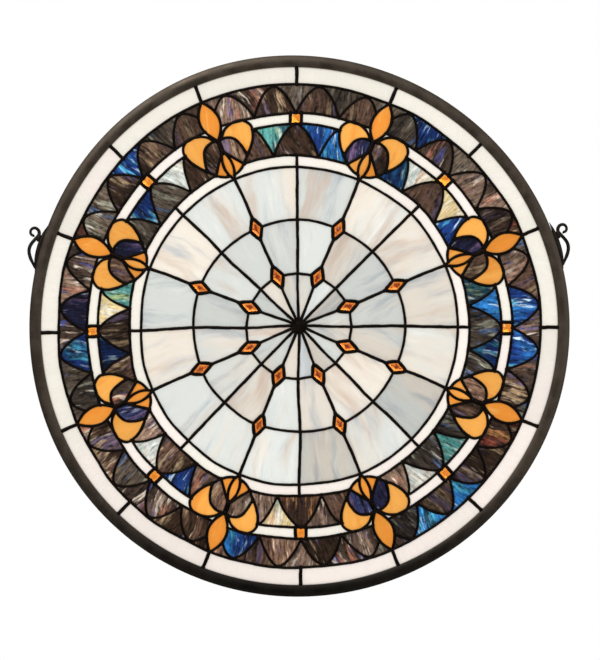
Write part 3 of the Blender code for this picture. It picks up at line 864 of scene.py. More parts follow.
def bead(path, width, height, waver, phases, wraps=False):
    """A half-round bead: across is width / 2 * cos(a) and forward is height * sin(a), for a from
    0 to pi. Width and height waver along the path as the sum of three sines, and the width
    swells towards the middle of the disc by a share that falls exponentially with distance."""
    along = distances(path)
    turns, parts = (np.array(column) for column in zip(*BEAD_WAVES))
    if wraps:
        whole = along[-1] + np.hypot(*(path[0] - path[-1]))
        turns = np.maximum(1, np.round(turns * whole / 2 / math.pi)) * 2 * math.pi / whole
    waves = np.sin(along[:, None] * turns + phases * 2 * math.pi) @ parts
    a = np.linspace(0, math.pi, 7)
    thick = (1 + waver * waves)[:, None]
    swell = 1 + HUB_SWELL * np.exp(-np.hypot(*path.T) / HUB_REACH)
    across = width / 2 * thick * swell[:, None] * np.cos(a)
    forward = settings().glass.thickness / 2 + height * (0.5 + thick / 2) * np.sin(a) - BEAD_SINK
    sway = width * BEAD_SWAY * np.roll(waves, len(waves) // 3)
    return sweep(path, across + sway[:, None], forward, wraps)


def dome(centre, radius, height):
    """A low round drop of solder, in four rings of (share of the radius, share of the height)."""
    rings = np.array([(1.0, -0.15), (0.93, 0.35), (0.66, 0.78), (0.28, 0.98)])
    flat = centre + polar(rings[:, :1] * radius, whole_turn(10))
    return skin(raised(flat, settings().glass.thickness / 2 + rings[:, 1:] * height), False)


def pebble(centre, forward, radii, turn):
    """An ellipsoid with its own axes: two in the window's plane, turned, and one to the front."""
    around = whole_turn(12)
    up = np.linspace(-0.48, 0.48, 8)[:, None] * math.pi
    local = np.stack(
        np.broadcast_arrays(radii[0] * np.cos(up) * np.cos(around), radii[1] * np.sin(up)), -1
    )
    flat = centre + turned(local.reshape(-1, 2), turn).reshape(local.shape)
    return skin(raised(flat, forward + radii[2] * np.cos(up) * np.sin(around)), False)


def stretch(path, start, step, reach):
    """Evenly spaced points of the path from this point on, one way or the other along it, or
    nothing where less than 0.4 of the reach is left."""
    way = path[start:] if step > 0 else path[start::-1]
    along = distances(way)
    if along[-1] < reach * 0.4:
        return None
    return resampled(way, along, np.linspace(0, min(reach, along[-1]), 13))


def corner_fill(first, second, width, gap, height):
    """Solder between two seams that leave one point: a strip across them, lower at its middle,
    that ends in a hollow where they stand the gap apart."""
    apart = np.hypot(*(first - second).T)
    open_from = np.argmax(apart > width + gap) or len(first) - 1
    way = np.linspace(0, open_from, 6)
    index = np.arange(len(first))
    left, inner_left, inner_right, right = (
        resampled(line, index, way * part)
        for line, part in ((first, 1), (first, 0.8), (second, 0.8), (second, 1))
    )
    middle = (inner_left + inner_right) / 2
    flat = np.stack([left, middle, right, right, middle, left], 1)
    level = height * np.array([0.6, 0.42, 0.6, -0.1, -0.1, -0.1])
    return skin(raised(flat, settings().glass.thickness / 2 + level), False)


def branches_at(middle, seams):
    """Each way along a seam that leaves this point, as (its first stretch, the seam's width)."""
    branches = []
    for path, width, closed in seams:
        away = np.hypot(*(path - middle).T)
        nearest = np.argmin(away)
        if away[nearest] > MEETING_REACH:
            continue
        if closed:
            path = np.roll(path, len(path) // 2 - nearest, axis=0)
            nearest = len(path) // 2
        for step in (1, -1):
            line = stretch(path, nearest, step, FILL_REACH)
            if line is not None:
                branches.append((line, width))
    return branches


def corner_fills(seams, middles, height):
    """Fills for every sharp corner between seams that meet at these points. The seams are
    (path, width, whether it closes on itself)."""
    gap = settings().seams.fill
    fills = []
    for middle in middles:
        branches = branches_at(middle, seams)
        if not 1 < len(branches) <= FLOWERS:
            continue
        headings = [math.atan2(*(line[5] - line[0])) for line, _ in branches]
        order = np.argsort(headings)
        for one, other in zip(order, np.roll(order, -1)):
            between = (headings[other] - headings[one]) % (2 * math.pi)
            if FILL_ANGLES[0] < between < FILL_ANGLES[1]:
                (first, wide), (second, wider) = branches[one], branches[other]
                fills.append(corner_fill(first, second, (wide + wider) / 2, gap, height))
    return fills


def behind(part):
    """The mesh mirrored to the back of the window."""
    points, faces = part
    return points * (1, -1, 1), [f[:, ::-1] for f in faces]


def pane(outline, half):
    """A flat pane: the outline as its two faces, joined by its edge."""
    count = len(outline)
    index = np.arange(count)
    after = np.roll(index, -1)
    points = np.concatenate([raised(outline, half), raised(outline, -half)])
    sides = np.column_stack([index, index + count, after + count, after])
    return points, [index[None], index[None, ::-1] + count, sides]


def join(parts):
    """Several meshes as one."""
    sizes = [len(points) for points, _ in parts]
    starts = np.cumsum(sizes) - sizes
    faces = [f + start for (_, many), start in zip(parts, starts) for f in many]
    return np.concatenate([points for points, _ in parts]), faces


def make_piece(name, parts, finish, nodes=(), smoothed=True, uv=None, tone=None):
    """Puts the meshes in one object, which rides on the window and replaces these nodes."""
    points, faces = join(parts)
    mesh = bpy.data.meshes.new(name)
    corners = np.concatenate([f.ravel() for f in faces])
    sizes = np.concatenate([np.full(len(f), f.shape[1]) for f in faces])
    mesh.vertices.add(len(points))
    mesh.vertices.foreach_set("co", points.ravel())
    mesh.loops.add(len(corners))
    mesh.loops.foreach_set("vertex_index", corners)
    mesh.polygons.add(len(sizes))
    mesh.polygons.foreach_set("loop_start", np.cumsum(sizes) - sizes)
    mesh.polygons.foreach_set("use_smooth", np.full(len(sizes), smoothed))
    mesh.update(calc_edges=True)
    if uv is not None:
        layer = mesh.uv_layers.new(name="sheet")
        layer.data.foreach_set("uv", uv[corners].ravel())
    if tone is not None:
        attribute = mesh.attributes.new("tone", "FLOAT_COLOR", "POINT")
        attribute.data.foreach_set("color", tone.ravel())
    made = bpy.data.objects.new(name, mesh)
    bpy.context.scene.collection.objects.link(made)
    made.data.materials.append(finish)
    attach(made, "root")
    if nodes:
        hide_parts(*nodes)
    return made


# Materials


def add(tree, kind, values=(), **options):
    """A node with its options set, and its inputs linked or given a value."""
    made = tree.nodes.new("ShaderNode" + kind)
    for option, value in options.items():
        setattr(made, option, value)
    pairs = values.items() if isinstance(values, dict) else enumerate(values)
    for key, value in pairs:
        if isinstance(value, bpy.types.NodeSocket):
            tree.links.new(value, made.inputs[key])
        elif value is not None:
            made.inputs[key].default_value = value
    return made


def maths(tree, operation, *values):
    return add(tree, "Math", values, operation=operation).outputs[0]


def noise(tree, vector, scale, detail, roughness=0.5):
    """The value of fractal noise there."""
    values = {"Vector": vector, "Scale": scale, "Detail": detail, "Roughness": roughness}
    return add(tree, "TexNoise", values).outputs[0]


def step_between(tree, value, low, high, to_low=0.0, to_high=1.0):
    """A smooth step from to_low, where the value is low, to to_high, where it is high."""
    values = (value, low, high, to_low, to_high)
    return add(tree, "MapRange", values, interpolation_type="SMOOTHSTEP").outputs[0]


def blend(tree, factor, first, second):
    """The second colour mixed over the first by the factor."""
    values = {0: factor, 6: first, 7: second}
    return add(tree, "Mix", values, data_type="RGBA").outputs[2]


def scaled(tree, tint, part):
    """The colour times a number."""
    return add(tree, "VectorMath", {0: tint, 3: part}, operation="SCALE").outputs[0]


def new_group(name, inputs, outputs):
    """An empty shader group with these sockets, as (tree, its inputs, its outputs)."""
    tree = bpy.data.node_groups.new(name, "ShaderNodeTree")
    for way, sockets in (("INPUT", inputs), ("OUTPUT", outputs)):
        for socket, kind in sockets.items():
            tree.interface.new_socket(socket, in_out=way, socket_type="NodeSocket" + kind)
    entry = tree.nodes.new("NodeGroupInput")
    leave = tree.nodes.new("NodeGroupOutput")
    return tree, entry.outputs, leave.inputs


def streak_and_shade_group():
    """Streaky sheet glass. Bands of colour run along the sheet's second coordinate: noise
    stretched along it picks the second colour over the ground, finer noise the streaks, the
    accents and the light wisps, and very fine noise darkens and lightens the fibres. Painted
    shade darkens the glass beside the solder that stands over it."""
    inputs = {"Sheet": "Vector", "Tone": "Color"}
    inputs |= {part.title(): "Color" for part in SHEET_PARTS}
    inputs |= {part: "Float" for part in STREAK_VALUES}
    tree, entry, leave = new_group("Glass streaks and painted shade", inputs, {"Color": "Color", "Height": "Float"})
    place = add(tree, "SeparateXYZ", [entry["Sheet"]]).outputs
    tone = add(tree, "SeparateColor", [entry["Tone"]]).outputs
    drift = maths(tree, "SUBTRACT", noise(tree, entry["Sheet"], 14, 2), 0.5)
    wandered = maths(tree, "MULTIPLY_ADD", drift, BAND_WANDER, place[0])
    across = maths(tree, "DIVIDE", wandered, entry["Band"])
    along = maths(tree, "DIVIDE", place[1], entry["Band"])
    along = maths(tree, "MULTIPLY", along, BAND_STRETCH)
    seed = maths(tree, "MULTIPLY", tone[0], 40.0)
    flow = add(tree, "CombineXYZ", [across, along, seed]).outputs[0]
    bands = noise(tree, flow, 0.55, 3, 0.6)
    lean = maths(tree, "MULTIPLY", maths(tree, "SUBTRACT", tone[2], 0.5), entry["Lean"])
    base = step_between(tree, maths(tree, "ADD", lean, bands), *SECOND_STEP)
    base = blend(tree, base, entry["Ground"], entry["Second"])
    for part, like, scale in (
        ("Accent", "Streak", 0.8), ("Streak", "Streak", 1.2), ("Light", "Light", 1.9)
    ):
        offset = add(tree, "VectorMath", [flow, (31 * scale, 7, 0)], operation="ADD").outputs[0]
        level = entry[like + " Level"]
        top = maths(tree, "ADD", level, entry["Softness"])
        found = step_between(tree, noise(tree, offset, scale, 4, 0.6), level, top)
        found = maths(tree, "MULTIPLY", found, entry[like + " Share"])
        base = blend(tree, found, base, entry[part])
    fine = [
        maths(tree, "MULTIPLY", way, scale) for way, scale in zip((wandered, place[1]), FIBRE_SCALE)
    ]
    fine = add(tree, "CombineXYZ", [*fine, seed]).outputs[0]
    fibre = noise(tree, fine, 1, 2, 0.6)
    mottle = noise(tree, entry["Sheet"], 230, 2, 0.6)
    both = maths(tree, "MULTIPLY_ADD", fibre, 2.2, mottle)
    swing = maths(tree, "MULTIPLY", maths(tree, "SUBTRACT", both, 1.6), 2.2)
    bright = maths(tree, "MULTIPLY_ADD", swing, entry["Fibre"], 1.0)
    bright = maths(tree, "MAXIMUM", bright, DARKEST_FIBRE)
    deep = maths(tree, "MULTIPLY", maths(tree, "SUBTRACT", tone[1], 0.6), entry["Depth"])
    bright = maths(tree, "MULTIPLY", bright, maths(tree, "MULTIPLY_ADD", deep, 2.0, 1.0))
    # Painted shade: the glass darkens beside the solder by its share of open sky
    near = add(tree, "AmbientOcclusion", {"Distance": PAINTED_SHADE_REACH}, samples=6).outputs["AO"]
    bright = maths(tree, "MULTIPLY", bright, step_between(tree, near, *PAINTED_SHADE_STEP))
    tree.links.new(scaled(tree, base, bright), leave[0])
    tree.links.new(maths(tree, "MULTIPLY_ADD", bands, 2.0, fibre), leave[1])
    return tree


def patina_and_shade_group():
    """Darkened metal: cloudy noise mixes the worn colour in, and fine noise gives the grain.
    Towards the foot of the window the colour is multiplied down to a share of itself, as painted
    shade."""
    inputs = {"Dark": "Color", "Worn": "Color"}
    inputs |= {part: "Float" for part in ("Cloud", "Amount", "Painted Shade Foot Share")}
    outputs = {"Color": "Color", "Roughness": "Float", "Height": "Float"}
    tree, entry, leave = new_group("Patina and painted shade", inputs, outputs)
    spot = add(tree, "TexCoord").outputs["Object"]
    clouds = noise(tree, spot, entry["Cloud"], 4, 0.6)
    grain = noise(tree, spot, 1400, 3, 0.6)
    both = maths(tree, "MULTIPLY_ADD", maths(tree, "SUBTRACT", grain, 0.5), 0.35, clouds)
    worn = maths(tree, "MULTIPLY", step_between(tree, both, 0.38, 0.68), entry["Amount"])
    tint = blend(tree, worn, entry["Dark"], entry["Worn"])
    # Painted shade: the colour darkens towards the foot of the window
    level = add(tree, "SeparateXYZ", [spot]).outputs[2]
    foot, knee = CENTRE_Z - RIM_RADIUS, CENTRE_Z - RIM_RADIUS * 0.4
    shade = step_between(tree, level, foot, knee, entry["Painted Shade Foot Share"], 1.0)
    tree.links.new(scaled(tree, tint, shade), leave[0])
    tree.links.new(step_between(tree, clouds, 0.3, 0.7, 0.36, 0.56), leave[1])
    tree.links.new(maths(tree, "ADD", grain, maths(tree, "MULTIPLY", clouds, 3.0)), leave[2])
    return tree


def group_named(name, build):
    """The group of this name, built if it isn't there yet."""
    return bpy.data.node_groups.get(name) or build()


def new_material(name, constants):
    """A material with these plain values on its shader, as (material, tree, shader)."""
    made = bpy.data.materials.new(name)
    made.use_nodes = True
    tree = made.node_tree
    shader = tree.nodes["Principled BSDF"]
    for socket, value in constants.items():
        shader.inputs[socket].default_value = value
    return made, tree, shader


def bumped(tree, shader, height, strength, distance):
    """Bends the shader's normals by this height."""
    values = {"Height": height, "Strength": strength, "Distance": distance}
    bump = add(tree, "Bump", values).outputs[0]
    tree.links.new(bump, shader.inputs["Normal"])


def glass_material(sheet):
    """Opalescent sheet glass with a painted glow: emission in its own colour stands in for the
    light from behind.
    """
    colours = settings().glass_colours
    # Emission Strength: painted glow, standing in for the light from behind
    constants = {"Roughness": 0.16, "IOR": 1.5, "Emission Strength": 0.5}
    made, tree, shader = new_material(sheet + "_glass", constants)
    group = add(tree, "Group", node_tree=group_named("Glass streaks and painted shade", streak_and_shade_group))
    for part in SHEET_PARTS:
        group.inputs[part.title()].default_value = (*getattr(colours, f"{sheet}_{part}"), 1)
    for socket, value in zip(STREAK_VALUES, STREAKS[sheet]):
        group.inputs[socket].default_value = value
    tree.links.new(add(tree, "UVMap", uv_map="sheet").outputs[0], group.inputs["Sheet"])
    tone = add(tree, "Attribute", attribute_name="tone").outputs["Color"]
    tree.links.new(tone, group.inputs["Tone"])
    tree.links.new(group.outputs["Color"], shader.inputs["Base Color"])
    tree.links.new(group.outputs["Color"], shader.inputs["Emission Color"])
    bumped(tree, shader, group.outputs["Height"], 0.25, 0.0004)
    return made


def metal_material(metal):
    """Patinated metal with the colours that carry its name, and painted shade towards the foot of
    the window.
    """
    name, cloud, amount, foot, constants = METALS[metal]
    colours = settings().metal_colours
    dark, worn = getattr(colours, metal), getattr(colours, metal + "_worn")
    made, tree, shader = new_material(name, constants)
    values = {"Dark": (*dark, 1), "Worn": (*worn, 1)}
    # The foot share is painted shade, darker towards the foot of the window
    values |= {"Cloud": cloud, "Amount": amount, "Painted Shade Foot Share": foot}
    group = add(tree, "Group", node_tree=group_named("Patina and painted shade", patina_and_shade_group))
    for socket, value in values.items():
        group.inputs[socket].default_value = value
    tree.links.new(group.outputs["Color"], shader.inputs["Base Color"])
    tree.links.new(group.outputs["Roughness"], shader.inputs["Roughness"])
    bumped(tree, shader, group.outputs["Height"], 0.35, 0.0002)
    return made


def jewel_material(name, thin, deep):
    """Cut glass that is darker where it is thicker, with swirls, and a painted glow from emission
    in its own colour.
    """
    # Emission Strength: painted glow, standing in for the light from behind
    constants = {
        "Roughness": 0.05, "IOR": 1.5, "Transmission Weight": 0.45, "Emission Strength": 0.26
    }
    made, tree, shader = new_material(name, constants)
    spot = add(tree, "TexCoord").outputs["Object"]
    tone = add(tree, "Attribute", attribute_name="tone").outputs["Color"]
    depth = add(tree, "SeparateColor", [tone]).outputs[0]
    swirl = maths(tree, "SUBTRACT", noise(tree, spot, 330, 3), 0.5)
    depth = step_between(tree, maths(tree, "MULTIPLY_ADD", swirl, 1.8, depth), 0.1, 0.9)
    tint = blend(tree, depth, (*thin, 1), (*deep, 1))
    tree.links.new(tint, shader.inputs["Base Color"])
    tree.links.new(tint, shader.inputs["Emission Color"])
    return made


# Pieces


def rounded(section, radius):
    """The closed section with each corner cut by a curve that starts this far from it."""
    before, after = np.roll(section, 1, axis=0), np.roll(section, -1, axis=0)
    reach = [
        (other - section) * np.minimum(radius / np.hypot(*(other - section).T), 0.45)[:, None]
        for other in (before, after)
    ]
    t = np.linspace(0, 1, 5)[None, :, None]
    curve = section[:, None] + reach[0][:, None] * (1 - t) ** 2 + reach[1][:, None] * t**2
    return curve.reshape(-1, 2)


class MEDALLION_OT_rim(bpy.types.Operator):
    """Bent channel round the glass, with a rounded face: forward falls from the middle of the
    face to its edges by the crown times the square of the share of the way"""

    bl_idname = "medallion.rim"
    bl_label = "Rim"

    def execute(self, context):
        groove = settings().glass.thickness / 2 + RIM_ROOM
        inner, outer = RIM_LIP - RIM_SPREAD, RIM_RADIUS + RIM_SPREAD
        way = np.linspace(-1, 1, 7)
        across = (inner + outer) / 2 + (outer - inner) / 2 * way
        face = np.column_stack([across, RIM_HALF_DEPTH - RIM_CROWN * way**2])
        section = np.concatenate([face, [
            (outer, -RIM_HALF_DEPTH), (inner, -RIM_HALF_DEPTH), (inner, -groove),
            (outer - RIM_WALL, -groove), (outer - RIM_WALL, groove), (inner, groove),
        ]])
        section = rounded(section, RIM_ROUNDING)
        flat = bent(polar(section[:, 0], whole_turn(RING_POINTS)[:, None]))
        part = skin(raised(flat, section[:, 1]), True)
        make_piece("rim_channel", [part], metal_material("rim"), ["rim"])
        return {"FINISHED"}


def hugging(along, out, side):
    """Points this far along the rim above the loop's middle, and this far out from it. A strip
    that stays straight stands off the rim by its length along it squared over the rim's
    diameter."""
    sizes = settings().hangers
    straight_share = sizes.right_straight if side > 0 else sizes.left_straight
    angle = HANGER_ANGLES[side] + along / RIM_RADIUS
    radius = RIM_RADIUS + out + straight_share * along**2 / RIM_RADIUS / 2
    return bent(np.column_stack([side * radius * np.cos(angle), radius * np.sin(angle)]))


def hanger_line(side):
    """Middle line of the wire: a bow that rises as a rounded sine out of the strip and comes
    down on it, then a curl that winds inwards."""
    sizes = settings().hangers
    landing = HANGER_GAP + sizes.strip + sizes.wire / 2 - BOW_SINK
    start = HANGER_GAP + BOW_START
    way = np.linspace(0, 1, 40)
    bow_along = sizes.bow * (2 * way - 1)
    bow_out = start + (landing - start) * way + sizes.rise * np.sin(math.pi * way) ** 1.3
    turn = np.linspace(0, 1, 56)[1:]
    radius = sizes.curl * (1 - 0.62 * turn**2)
    angle = CURL_TURN * turn - math.pi / 2
    curl_along = sizes.bow + radius * np.cos(angle)
    curl_out = landing + sizes.curl + radius * np.sin(angle)
    along, out = np.r_[bow_along, curl_along], np.r_[bow_out, curl_out]
    return hugging(along, out, side)


def wire_radii(count):
    """Radius of the wire at each of its points. It grows from 0.55 of its full size over the
    first few, thins by 0.22 over the last fifty, and ends in a round bead."""
    index = np.arange(count)
    left = count - 1 - index
    root = np.clip(0.55 + index / 20, 0, 1)
    thinned = 1 - 0.22 * np.clip(2 - left / 25, 0, 1)
    tip = np.sqrt(np.clip((left + 0.15) / 3, 0, 1)) * (thinned + 0.45 * np.exp(-((left / 5) ** 2)))
    return settings().hangers.wire / 2 * root * tip


def hanger_parts(side):
    """The wire, the strip and the drop of braze between them. The strip's thickness falls to
    either end as 1 - |share|^2.4, and so does its width, down to half."""
    sizes = settings().hangers
    around = whole_turn(12)
    line = hanger_line(side)
    thick = wire_radii(len(line))[:, None]
    wire = sweep(line, thick * np.cos(around), thick * np.sin(around))
    way = np.linspace(-1, 1, 31)
    taper = np.maximum(1 - np.abs(way) ** 2.4, 0.1)
    along = (sizes.above + sizes.below) / 2 * way + (sizes.above - sizes.below) / 2
    line = hugging(along, HANGER_GAP + sizes.strip / 2 * taper, side)
    flattened = np.abs(np.sin(around)) ** 0.6 * np.sign(np.sin(around))
    across = sizes.strip / 2 * taper[:, None] * np.cos(around)
    forward = sizes.strip_width / 2 * np.maximum(taper, 0.5)[:, None] * flattened
    strip = sweep(line, across, forward)
    place = sizes.bow * BRAZE_PLACE
    (centre,) = hugging(np.array([place]), HANGER_GAP + sizes.strip + BRAZE_OUT, side)
    turn = -side * (HANGER_ANGLES[side] + place / RIM_RADIUS)
    return [wire, strip, pebble(centre, 0, BRAZE_SIZES, turn)]


class MEDALLION_OT_hangers(bpy.types.Operator):
    """Two scrolls of round wire, each brazed to a strip that tapers along the rim"""

    bl_idname = "medallion.hangers"
    bl_label = "Hangers"

    def execute(self, context):
        finish = metal_material("hanger")
        for side, name in ((-1, "left"), (1, "right")):
            parts, nodes = hanger_parts(side), [f"hanger_{name}"]
            make_piece(f"scroll_hanger_{name}", parts, finish, nodes)
        return {"FINISHED"}


def solder_parts(height, seed):
    """Every bead and every drop where beads meet, on the front."""
    sizes = settings().seams
    draws = np.random.default_rng(seed)
    drawn = sector_seams()
    seams = [
        (settled(turned(path, SECTOR * (i + 0.5))), getattr(sizes, kind), False)
        for i in range(FLOWERS)
        for kind, path in drawn
    ]
    ends = [path[end] for path, _, _ in seams for end in (0, -1)]
    wide = [width for _, width, _ in seams for _ in range(2)]
    seams += [(settled(path), getattr(sizes, kind), True) for kind, path in closed_seams()]
    parts = [
        bead(path, width, height, sizes.waver, draws.random(3), closed)
        for path, width, closed in seams
    ]
    cells = np.round(np.array(ends) / MEETING_CELL)
    which = np.unique(cells, axis=0, return_inverse=True)[1].ravel()
    count = np.bincount(which)
    middles = np.column_stack([np.bincount(which, column) / count for column in zip(*ends)])
    radius = np.bincount(which, wide) / count / 2 * (1.12 + 0.10 * np.minimum(count, 4))
    radius = np.where(count > FLOWERS, HUB_DROP, radius)
    radius *= 0.92 + 0.2 * draws.random(len(count))
    parts += [dome(middle, r, height * 1.12) for middle, r in zip(middles, radius)]
    return parts + corner_fills(seams, middles, height)


class MEDALLION_OT_leading(bpy.types.Operator):
    """Beads of blackened solder along every seam, in front and behind"""

    bl_idname = "medallion.leading"
    bl_label = "Leading"

    def execute(self, context):
        sizes, finish = settings().seams, metal_material("solder")
        front = solder_parts(sizes.height, SEED)
        make_piece("solder_front", front, finish, ["leading"])
        back = [behind(part) for part in solder_parts(sizes.back_height, SEED + 1)]
        make_piece("solder_back", back, finish)
        return {"FINISHED"}


def cut_panes():
    """Every pane of sheet glass as {sheet: [(zone, outline, grain angle)]}, cut from sheets
    that are drawn by each zone's shares."""
    draws = np.random.default_rng(SEED)
    found = {sheet: [] for sheet in SHEETS}
    panes = sector_panes()
    gap = settings().glass.gap
    for i in range(FLOWERS):
        turn = SECTOR * (i + 0.5)
        for zone, outline in panes:
            sheets = ZONES[zone]
            sheet = draws.choice(list(sheets), p=list(sheets.values()))
            outline = settled(turned(inset(outline, gap / 2), turn))
            grain = angle_at(outline.mean(0)) + draws.normal(0, GRAIN_SPREAD)
            found[sheet].append((zone, outline, grain))
    return found


def make_glass(sheet, nodes=()):
    """All panes cut from one sheet as one piece. Each pane's place in the sheet is its own
    outline turned so that the sheet's grain runs along its angle, and moved about."""
    draws = np.random.default_rng(SEED + 100 + list(SHEETS).index(sheet))
    half = settings().glass.thickness / 2
    parts, places, tones = [], [], []
    for zone, outline, grain in cut_panes()[sheet]:
        parts.append(pane(outline, half))
        flat = turned(outline - outline.mean(0), -grain) + draws.random(2) * SHEET_SPREAD
        places += [flat, flat]
        seed, depth, lean = draws.random(3)
        low, high = DEPTHS.get(zone, (0, 1))
        depth = low + (high - low) * depth
        tones.append(np.tile([seed, depth, LEANS.get(zone, lean), 1], (2 * len(outline), 1)))
    if not parts:
        return
    uv, tone = np.concatenate(places), np.concatenate(tones)
    make_piece(sheet + "_panes", parts, glass_material(sheet), nodes, False, uv, tone)


class MEDALLION_OT_scale_glass(bpy.types.Operator):
    """Streaky dark glass of the fish scales and the pieces between them"""

    bl_idname = "medallion.scale_glass"
    bl_label = "Scale glass"

    def execute(self, context):
        make_glass("umber", ["field_glass"])
        for sheet in ("mauve", "slate", "cobalt", "violet", "aqua", "pearl", "rust"):
            make_glass(sheet)
        return {"FINISHED"}


class MEDALLION_OT_cream_glass(bpy.types.Operator):
    """Cream glass of the border and of the two white bands"""

    bl_idname = "medallion.cream_glass"
    bl_label = "Cream glass"

    def execute(self, context):
        nodes = [f"border_pane_{i + 1:02d}" for i in range(2 * FLOWERS)]
        make_glass("cream", nodes)
        return {"FINISHED"}


class MEDALLION_OT_web_glass(bpy.types.Operator):
    """Milky glass between the spokes"""

    bl_idname = "medallion.web_glass"
    bl_label = "Web glass"

    def execute(self, context):
        make_glass("milky", ["web_middle_glass", "web_hub_glass"])
        return {"FINISHED"}


class MEDALLION_OT_flower_glass(bpy.types.Operator):
    """Amber glass of the eight fleurs-de-lis"""

    bl_idname = "medallion.flower_glass"
    bl_label = "Flower glass"

    def execute(self, context):
        make_glass("amber", [f"fleur_de_lis_{i + 1}" for i in range(FLOWERS)])
        return {"FINISHED"}


def cut_jewel(outline, centre, turn, steps):
    """A jewel in rings: the outline drawn in by each share and raised by each height, with a
    flat table on top. The steps are (share of the outline, height over the glass)."""
    half = settings().glass.thickness / 2
    rings = np.stack([outline * part for part, _ in steps])
    flat = settled(turned(rings.reshape(-1, 2), turn) + centre).reshape(rings.shape)
    lift = np.array([height for _, height in steps])[:, None] + half
    lift[0] = -half
    return skin(raised(flat, lift), False)


def make_jewels(kind, jewels, nodes):
    """One piece of these jewels, in the colours that carry their name. How deep the glass is
    goes into the red of its points' tone."""
    colours = settings().metal_colours
    thin, deep = getattr(colours, kind), getattr(colours, kind + "_deep")
    points = sum(len(jewel) for jewel, _ in jewels)
    corners = points // len(jewels) // len(JEWEL_DEPTHS)
    tone = np.ones((points, 4))
    tone[:, 0] = np.tile(np.repeat(JEWEL_DEPTHS, corners), len(jewels))
    finish = jewel_material(kind + "_glass", thin, deep)
    make_piece(kind + "s", jewels, finish, nodes, False, tone=tone)


class MEDALLION_OT_jewels(bpy.types.Operator):
    """Faceted jewels in the web and square ones in the white band"""

    bl_idname = "medallion.jewels"
    bl_label = "Jewels"

    def execute(self, context):
        crown = settings().glass.crown
        steps = ((0.97, 0), (0.97, 0), (0.74, 0.0004), (0.30, crown * 0.85), (0.02, crown))
        draws = np.random.default_rng(SEED + 50)
        diamonds, squares = [], []
        diamond = diamond_outline()
        for i in range(FLOWERS):
            turn = SECTOR * (i + 0.5)
            for radius in (RING_WEB_OUTER, RING_WEB_INNER):
                diamonds.append(cut_jewel(diamond, polar(radius, turn), turn, steps))
            square = square_outline(WHITE_WIDTH / 2, draws.uniform(3, 6))
            turn += EDGE
            squares.append(cut_jewel(square, polar(SQUARE_JEWEL_RADIUS, turn), turn, steps))
        rings = ("outer", "inner")
        nodes = [f"web_jewel_{ring}_{i + 1}" for ring in rings for i in range(FLOWERS)]
        make_jewels("web_jewel", diamonds, nodes)
        nodes = [f"square_jewel_{i + 1}" for i in range(FLOWERS)]
        make_jewels("square_jewel", squares, nodes)
        return {"FINISHED"}


def floor_material(tint):
    """Matt floor of this colour, faintly clouded."""
    made, tree, shader = new_material("pale_floor", {"Roughness": 0.6})
    spot = add(tree, "TexCoord").outputs["Object"]
    shade = step_between(tree, noise(tree, spot, 3, 3), 0.3, 0.7, 0.97, 1.0)
    tree.links.new(scaled(tree, (*tint,), shade), shader.inputs["Base Color"])
    return made


def add_light(name, place, size, power, toward):
    """A soft round light, unseen itself, that faces a point."""
    light = bpy.data.lights.new(name, "AREA")
    light.shape, light.size, light.energy = "DISK", size, power
    made = bpy.data.objects.new(name, light)
    bpy.context.scene.collection.objects.link(made)
    made.location = place
    direction = toward - made.location
    made.rotation_euler = direction.to_track_quat("-Z", "Y").to_euler()
    made.visible_camera = False


def white_world():
    """White to the camera, and a dimmer room that brightens upwards to everything else."""
    world = bpy.data.worlds.new("studio")
    bpy.context.scene.world = world
    world.use_nodes = True
    tree = world.node_tree
    up = add(tree, "SeparateXYZ", [add(tree, "TexCoord").outputs["Generated"]]).outputs[2]
    level = step_between(tree, up, -0.5, 0.9, 0.06, 0.31)
    room = add(tree, "CombineColor", [level, level, level]).outputs[0]
    rays = add(tree, "LightPath").outputs
    seen = maths(tree, "MAXIMUM", rays["Is Camera Ray"], rays["Is Transmission Ray"])
    shade = blend(tree, seen, room, (1, 1, 1, 1))
    tree.links.new(shade, tree.nodes["Background"].inputs[0])


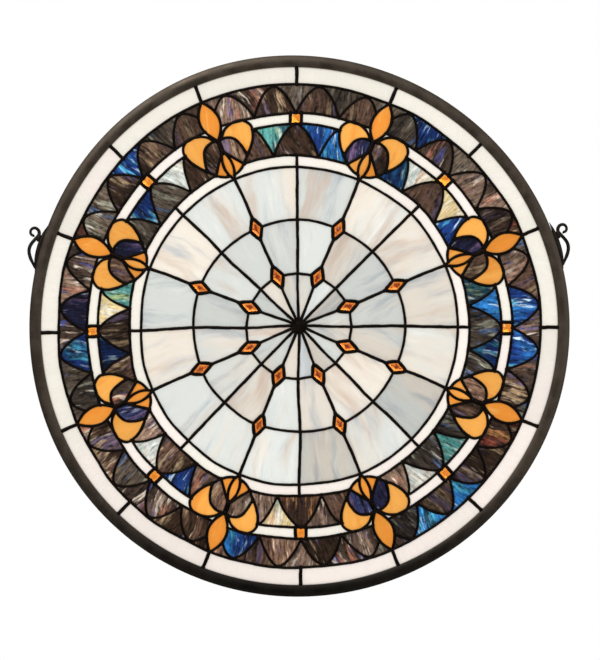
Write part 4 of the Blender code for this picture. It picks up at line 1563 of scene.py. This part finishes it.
class MEDALLION_OT_stage(bpy.types.Operator):
    """Pale floor, soft light and the camera straight in front"""

    bl_idname = "medallion.stage"
    bl_label = "Stage"

    def execute(self, context):
        stage = settings().stage
        scene = context.scene
        scene.view_settings.view_transform = "Standard"
        middle = type(CAD_BOX[0])((0, 0, CENTRE_Z))
        flat = polar(FLOOR_RADIUS, whole_turn(FLOOR_POINTS))
        disc = np.column_stack([flat, np.full(FLOOR_POINTS, CENTRE_Z - stage.drop)])
        mesh = bpy.data.meshes.new("floor")
        mesh.from_pydata(disc.tolist(), [], [list(reversed(range(FLOOR_POINTS)))])
        floor = bpy.data.objects.new("floor", mesh)
        scene.collection.objects.link(floor)
        mesh.materials.append(floor_material(stage.floor))
        white_world()
        for light in LIGHTS:
            add_light(*light, middle)
        camera = bpy.data.cameras.new("camera")
        camera.lens, camera.sensor_width = stage.lens, SENSOR_WIDTH
        camera.clip_start, camera.clip_end = 0.05, 50
        seen = bpy.data.objects.new("camera", camera)
        scene.collection.objects.link(seen)
        distance = stage.photo_height * stage.lens / SENSOR_WIDTH
        seen.location = (stage.right, CAD_BOX[0].y - distance, CENTRE_Z - stage.below)
        seen.rotation_euler = (math.pi / 2, stage.roll, 0)
        scene.camera = seen
        return {"FINISHED"}


OPERATORS = (
    MEDALLION_OT_rim,
    MEDALLION_OT_hangers,
    MEDALLION_OT_leading,
    MEDALLION_OT_scale_glass,
    MEDALLION_OT_cream_glass,
    MEDALLION_OT_web_glass,
    MEDALLION_OT_flower_glass,
    MEDALLION_OT_jewels,
    MEDALLION_OT_stage,
)


class MEDALLION_PT_window(bpy.types.Panel):
    """Lists the window's pieces and what can be changed about them"""

    bl_label = "Medallion Window"
    bl_idname = "MEDALLION_PT_window"
    bl_space_type = "VIEW_3D"
    bl_region_type = "UI"
    bl_category = "Window"

    def draw(self, context):
        layout = self.layout
        for operator in OPERATORS:
            layout.operator(operator.bl_idname)
        window = settings()
        for group in window.__annotations__:
            box = layout.box()
            box.label(text=group.replace("_", " ").title())
            values = getattr(window, group)
            for name in values.__annotations__:
                box.prop(values, name)


CLASSES = (
    HandWork,
    SeamSizes,
    GlassSizes,
    HangerSizes,
    GlassColours,
    MetalColours,
    StageSettings,
    WindowSettings,
    *OPERATORS,
    MEDALLION_PT_window,
)


def register():
    for made in CLASSES:
        bpy.utils.register_class(made)
    bpy.types.Scene.medallion_window = bpy.props.PointerProperty(type=WindowSettings)


def unregister():
    del bpy.types.Scene.medallion_window
    for made in reversed(CLASSES):
        bpy.utils.unregister_class(made)


def main():
    register()
    for operator in OPERATORS:
        group, name = operator.bl_idname.split(".")
        getattr(getattr(bpy.ops, group), name)()


if __name__ == "__main__":
    main()
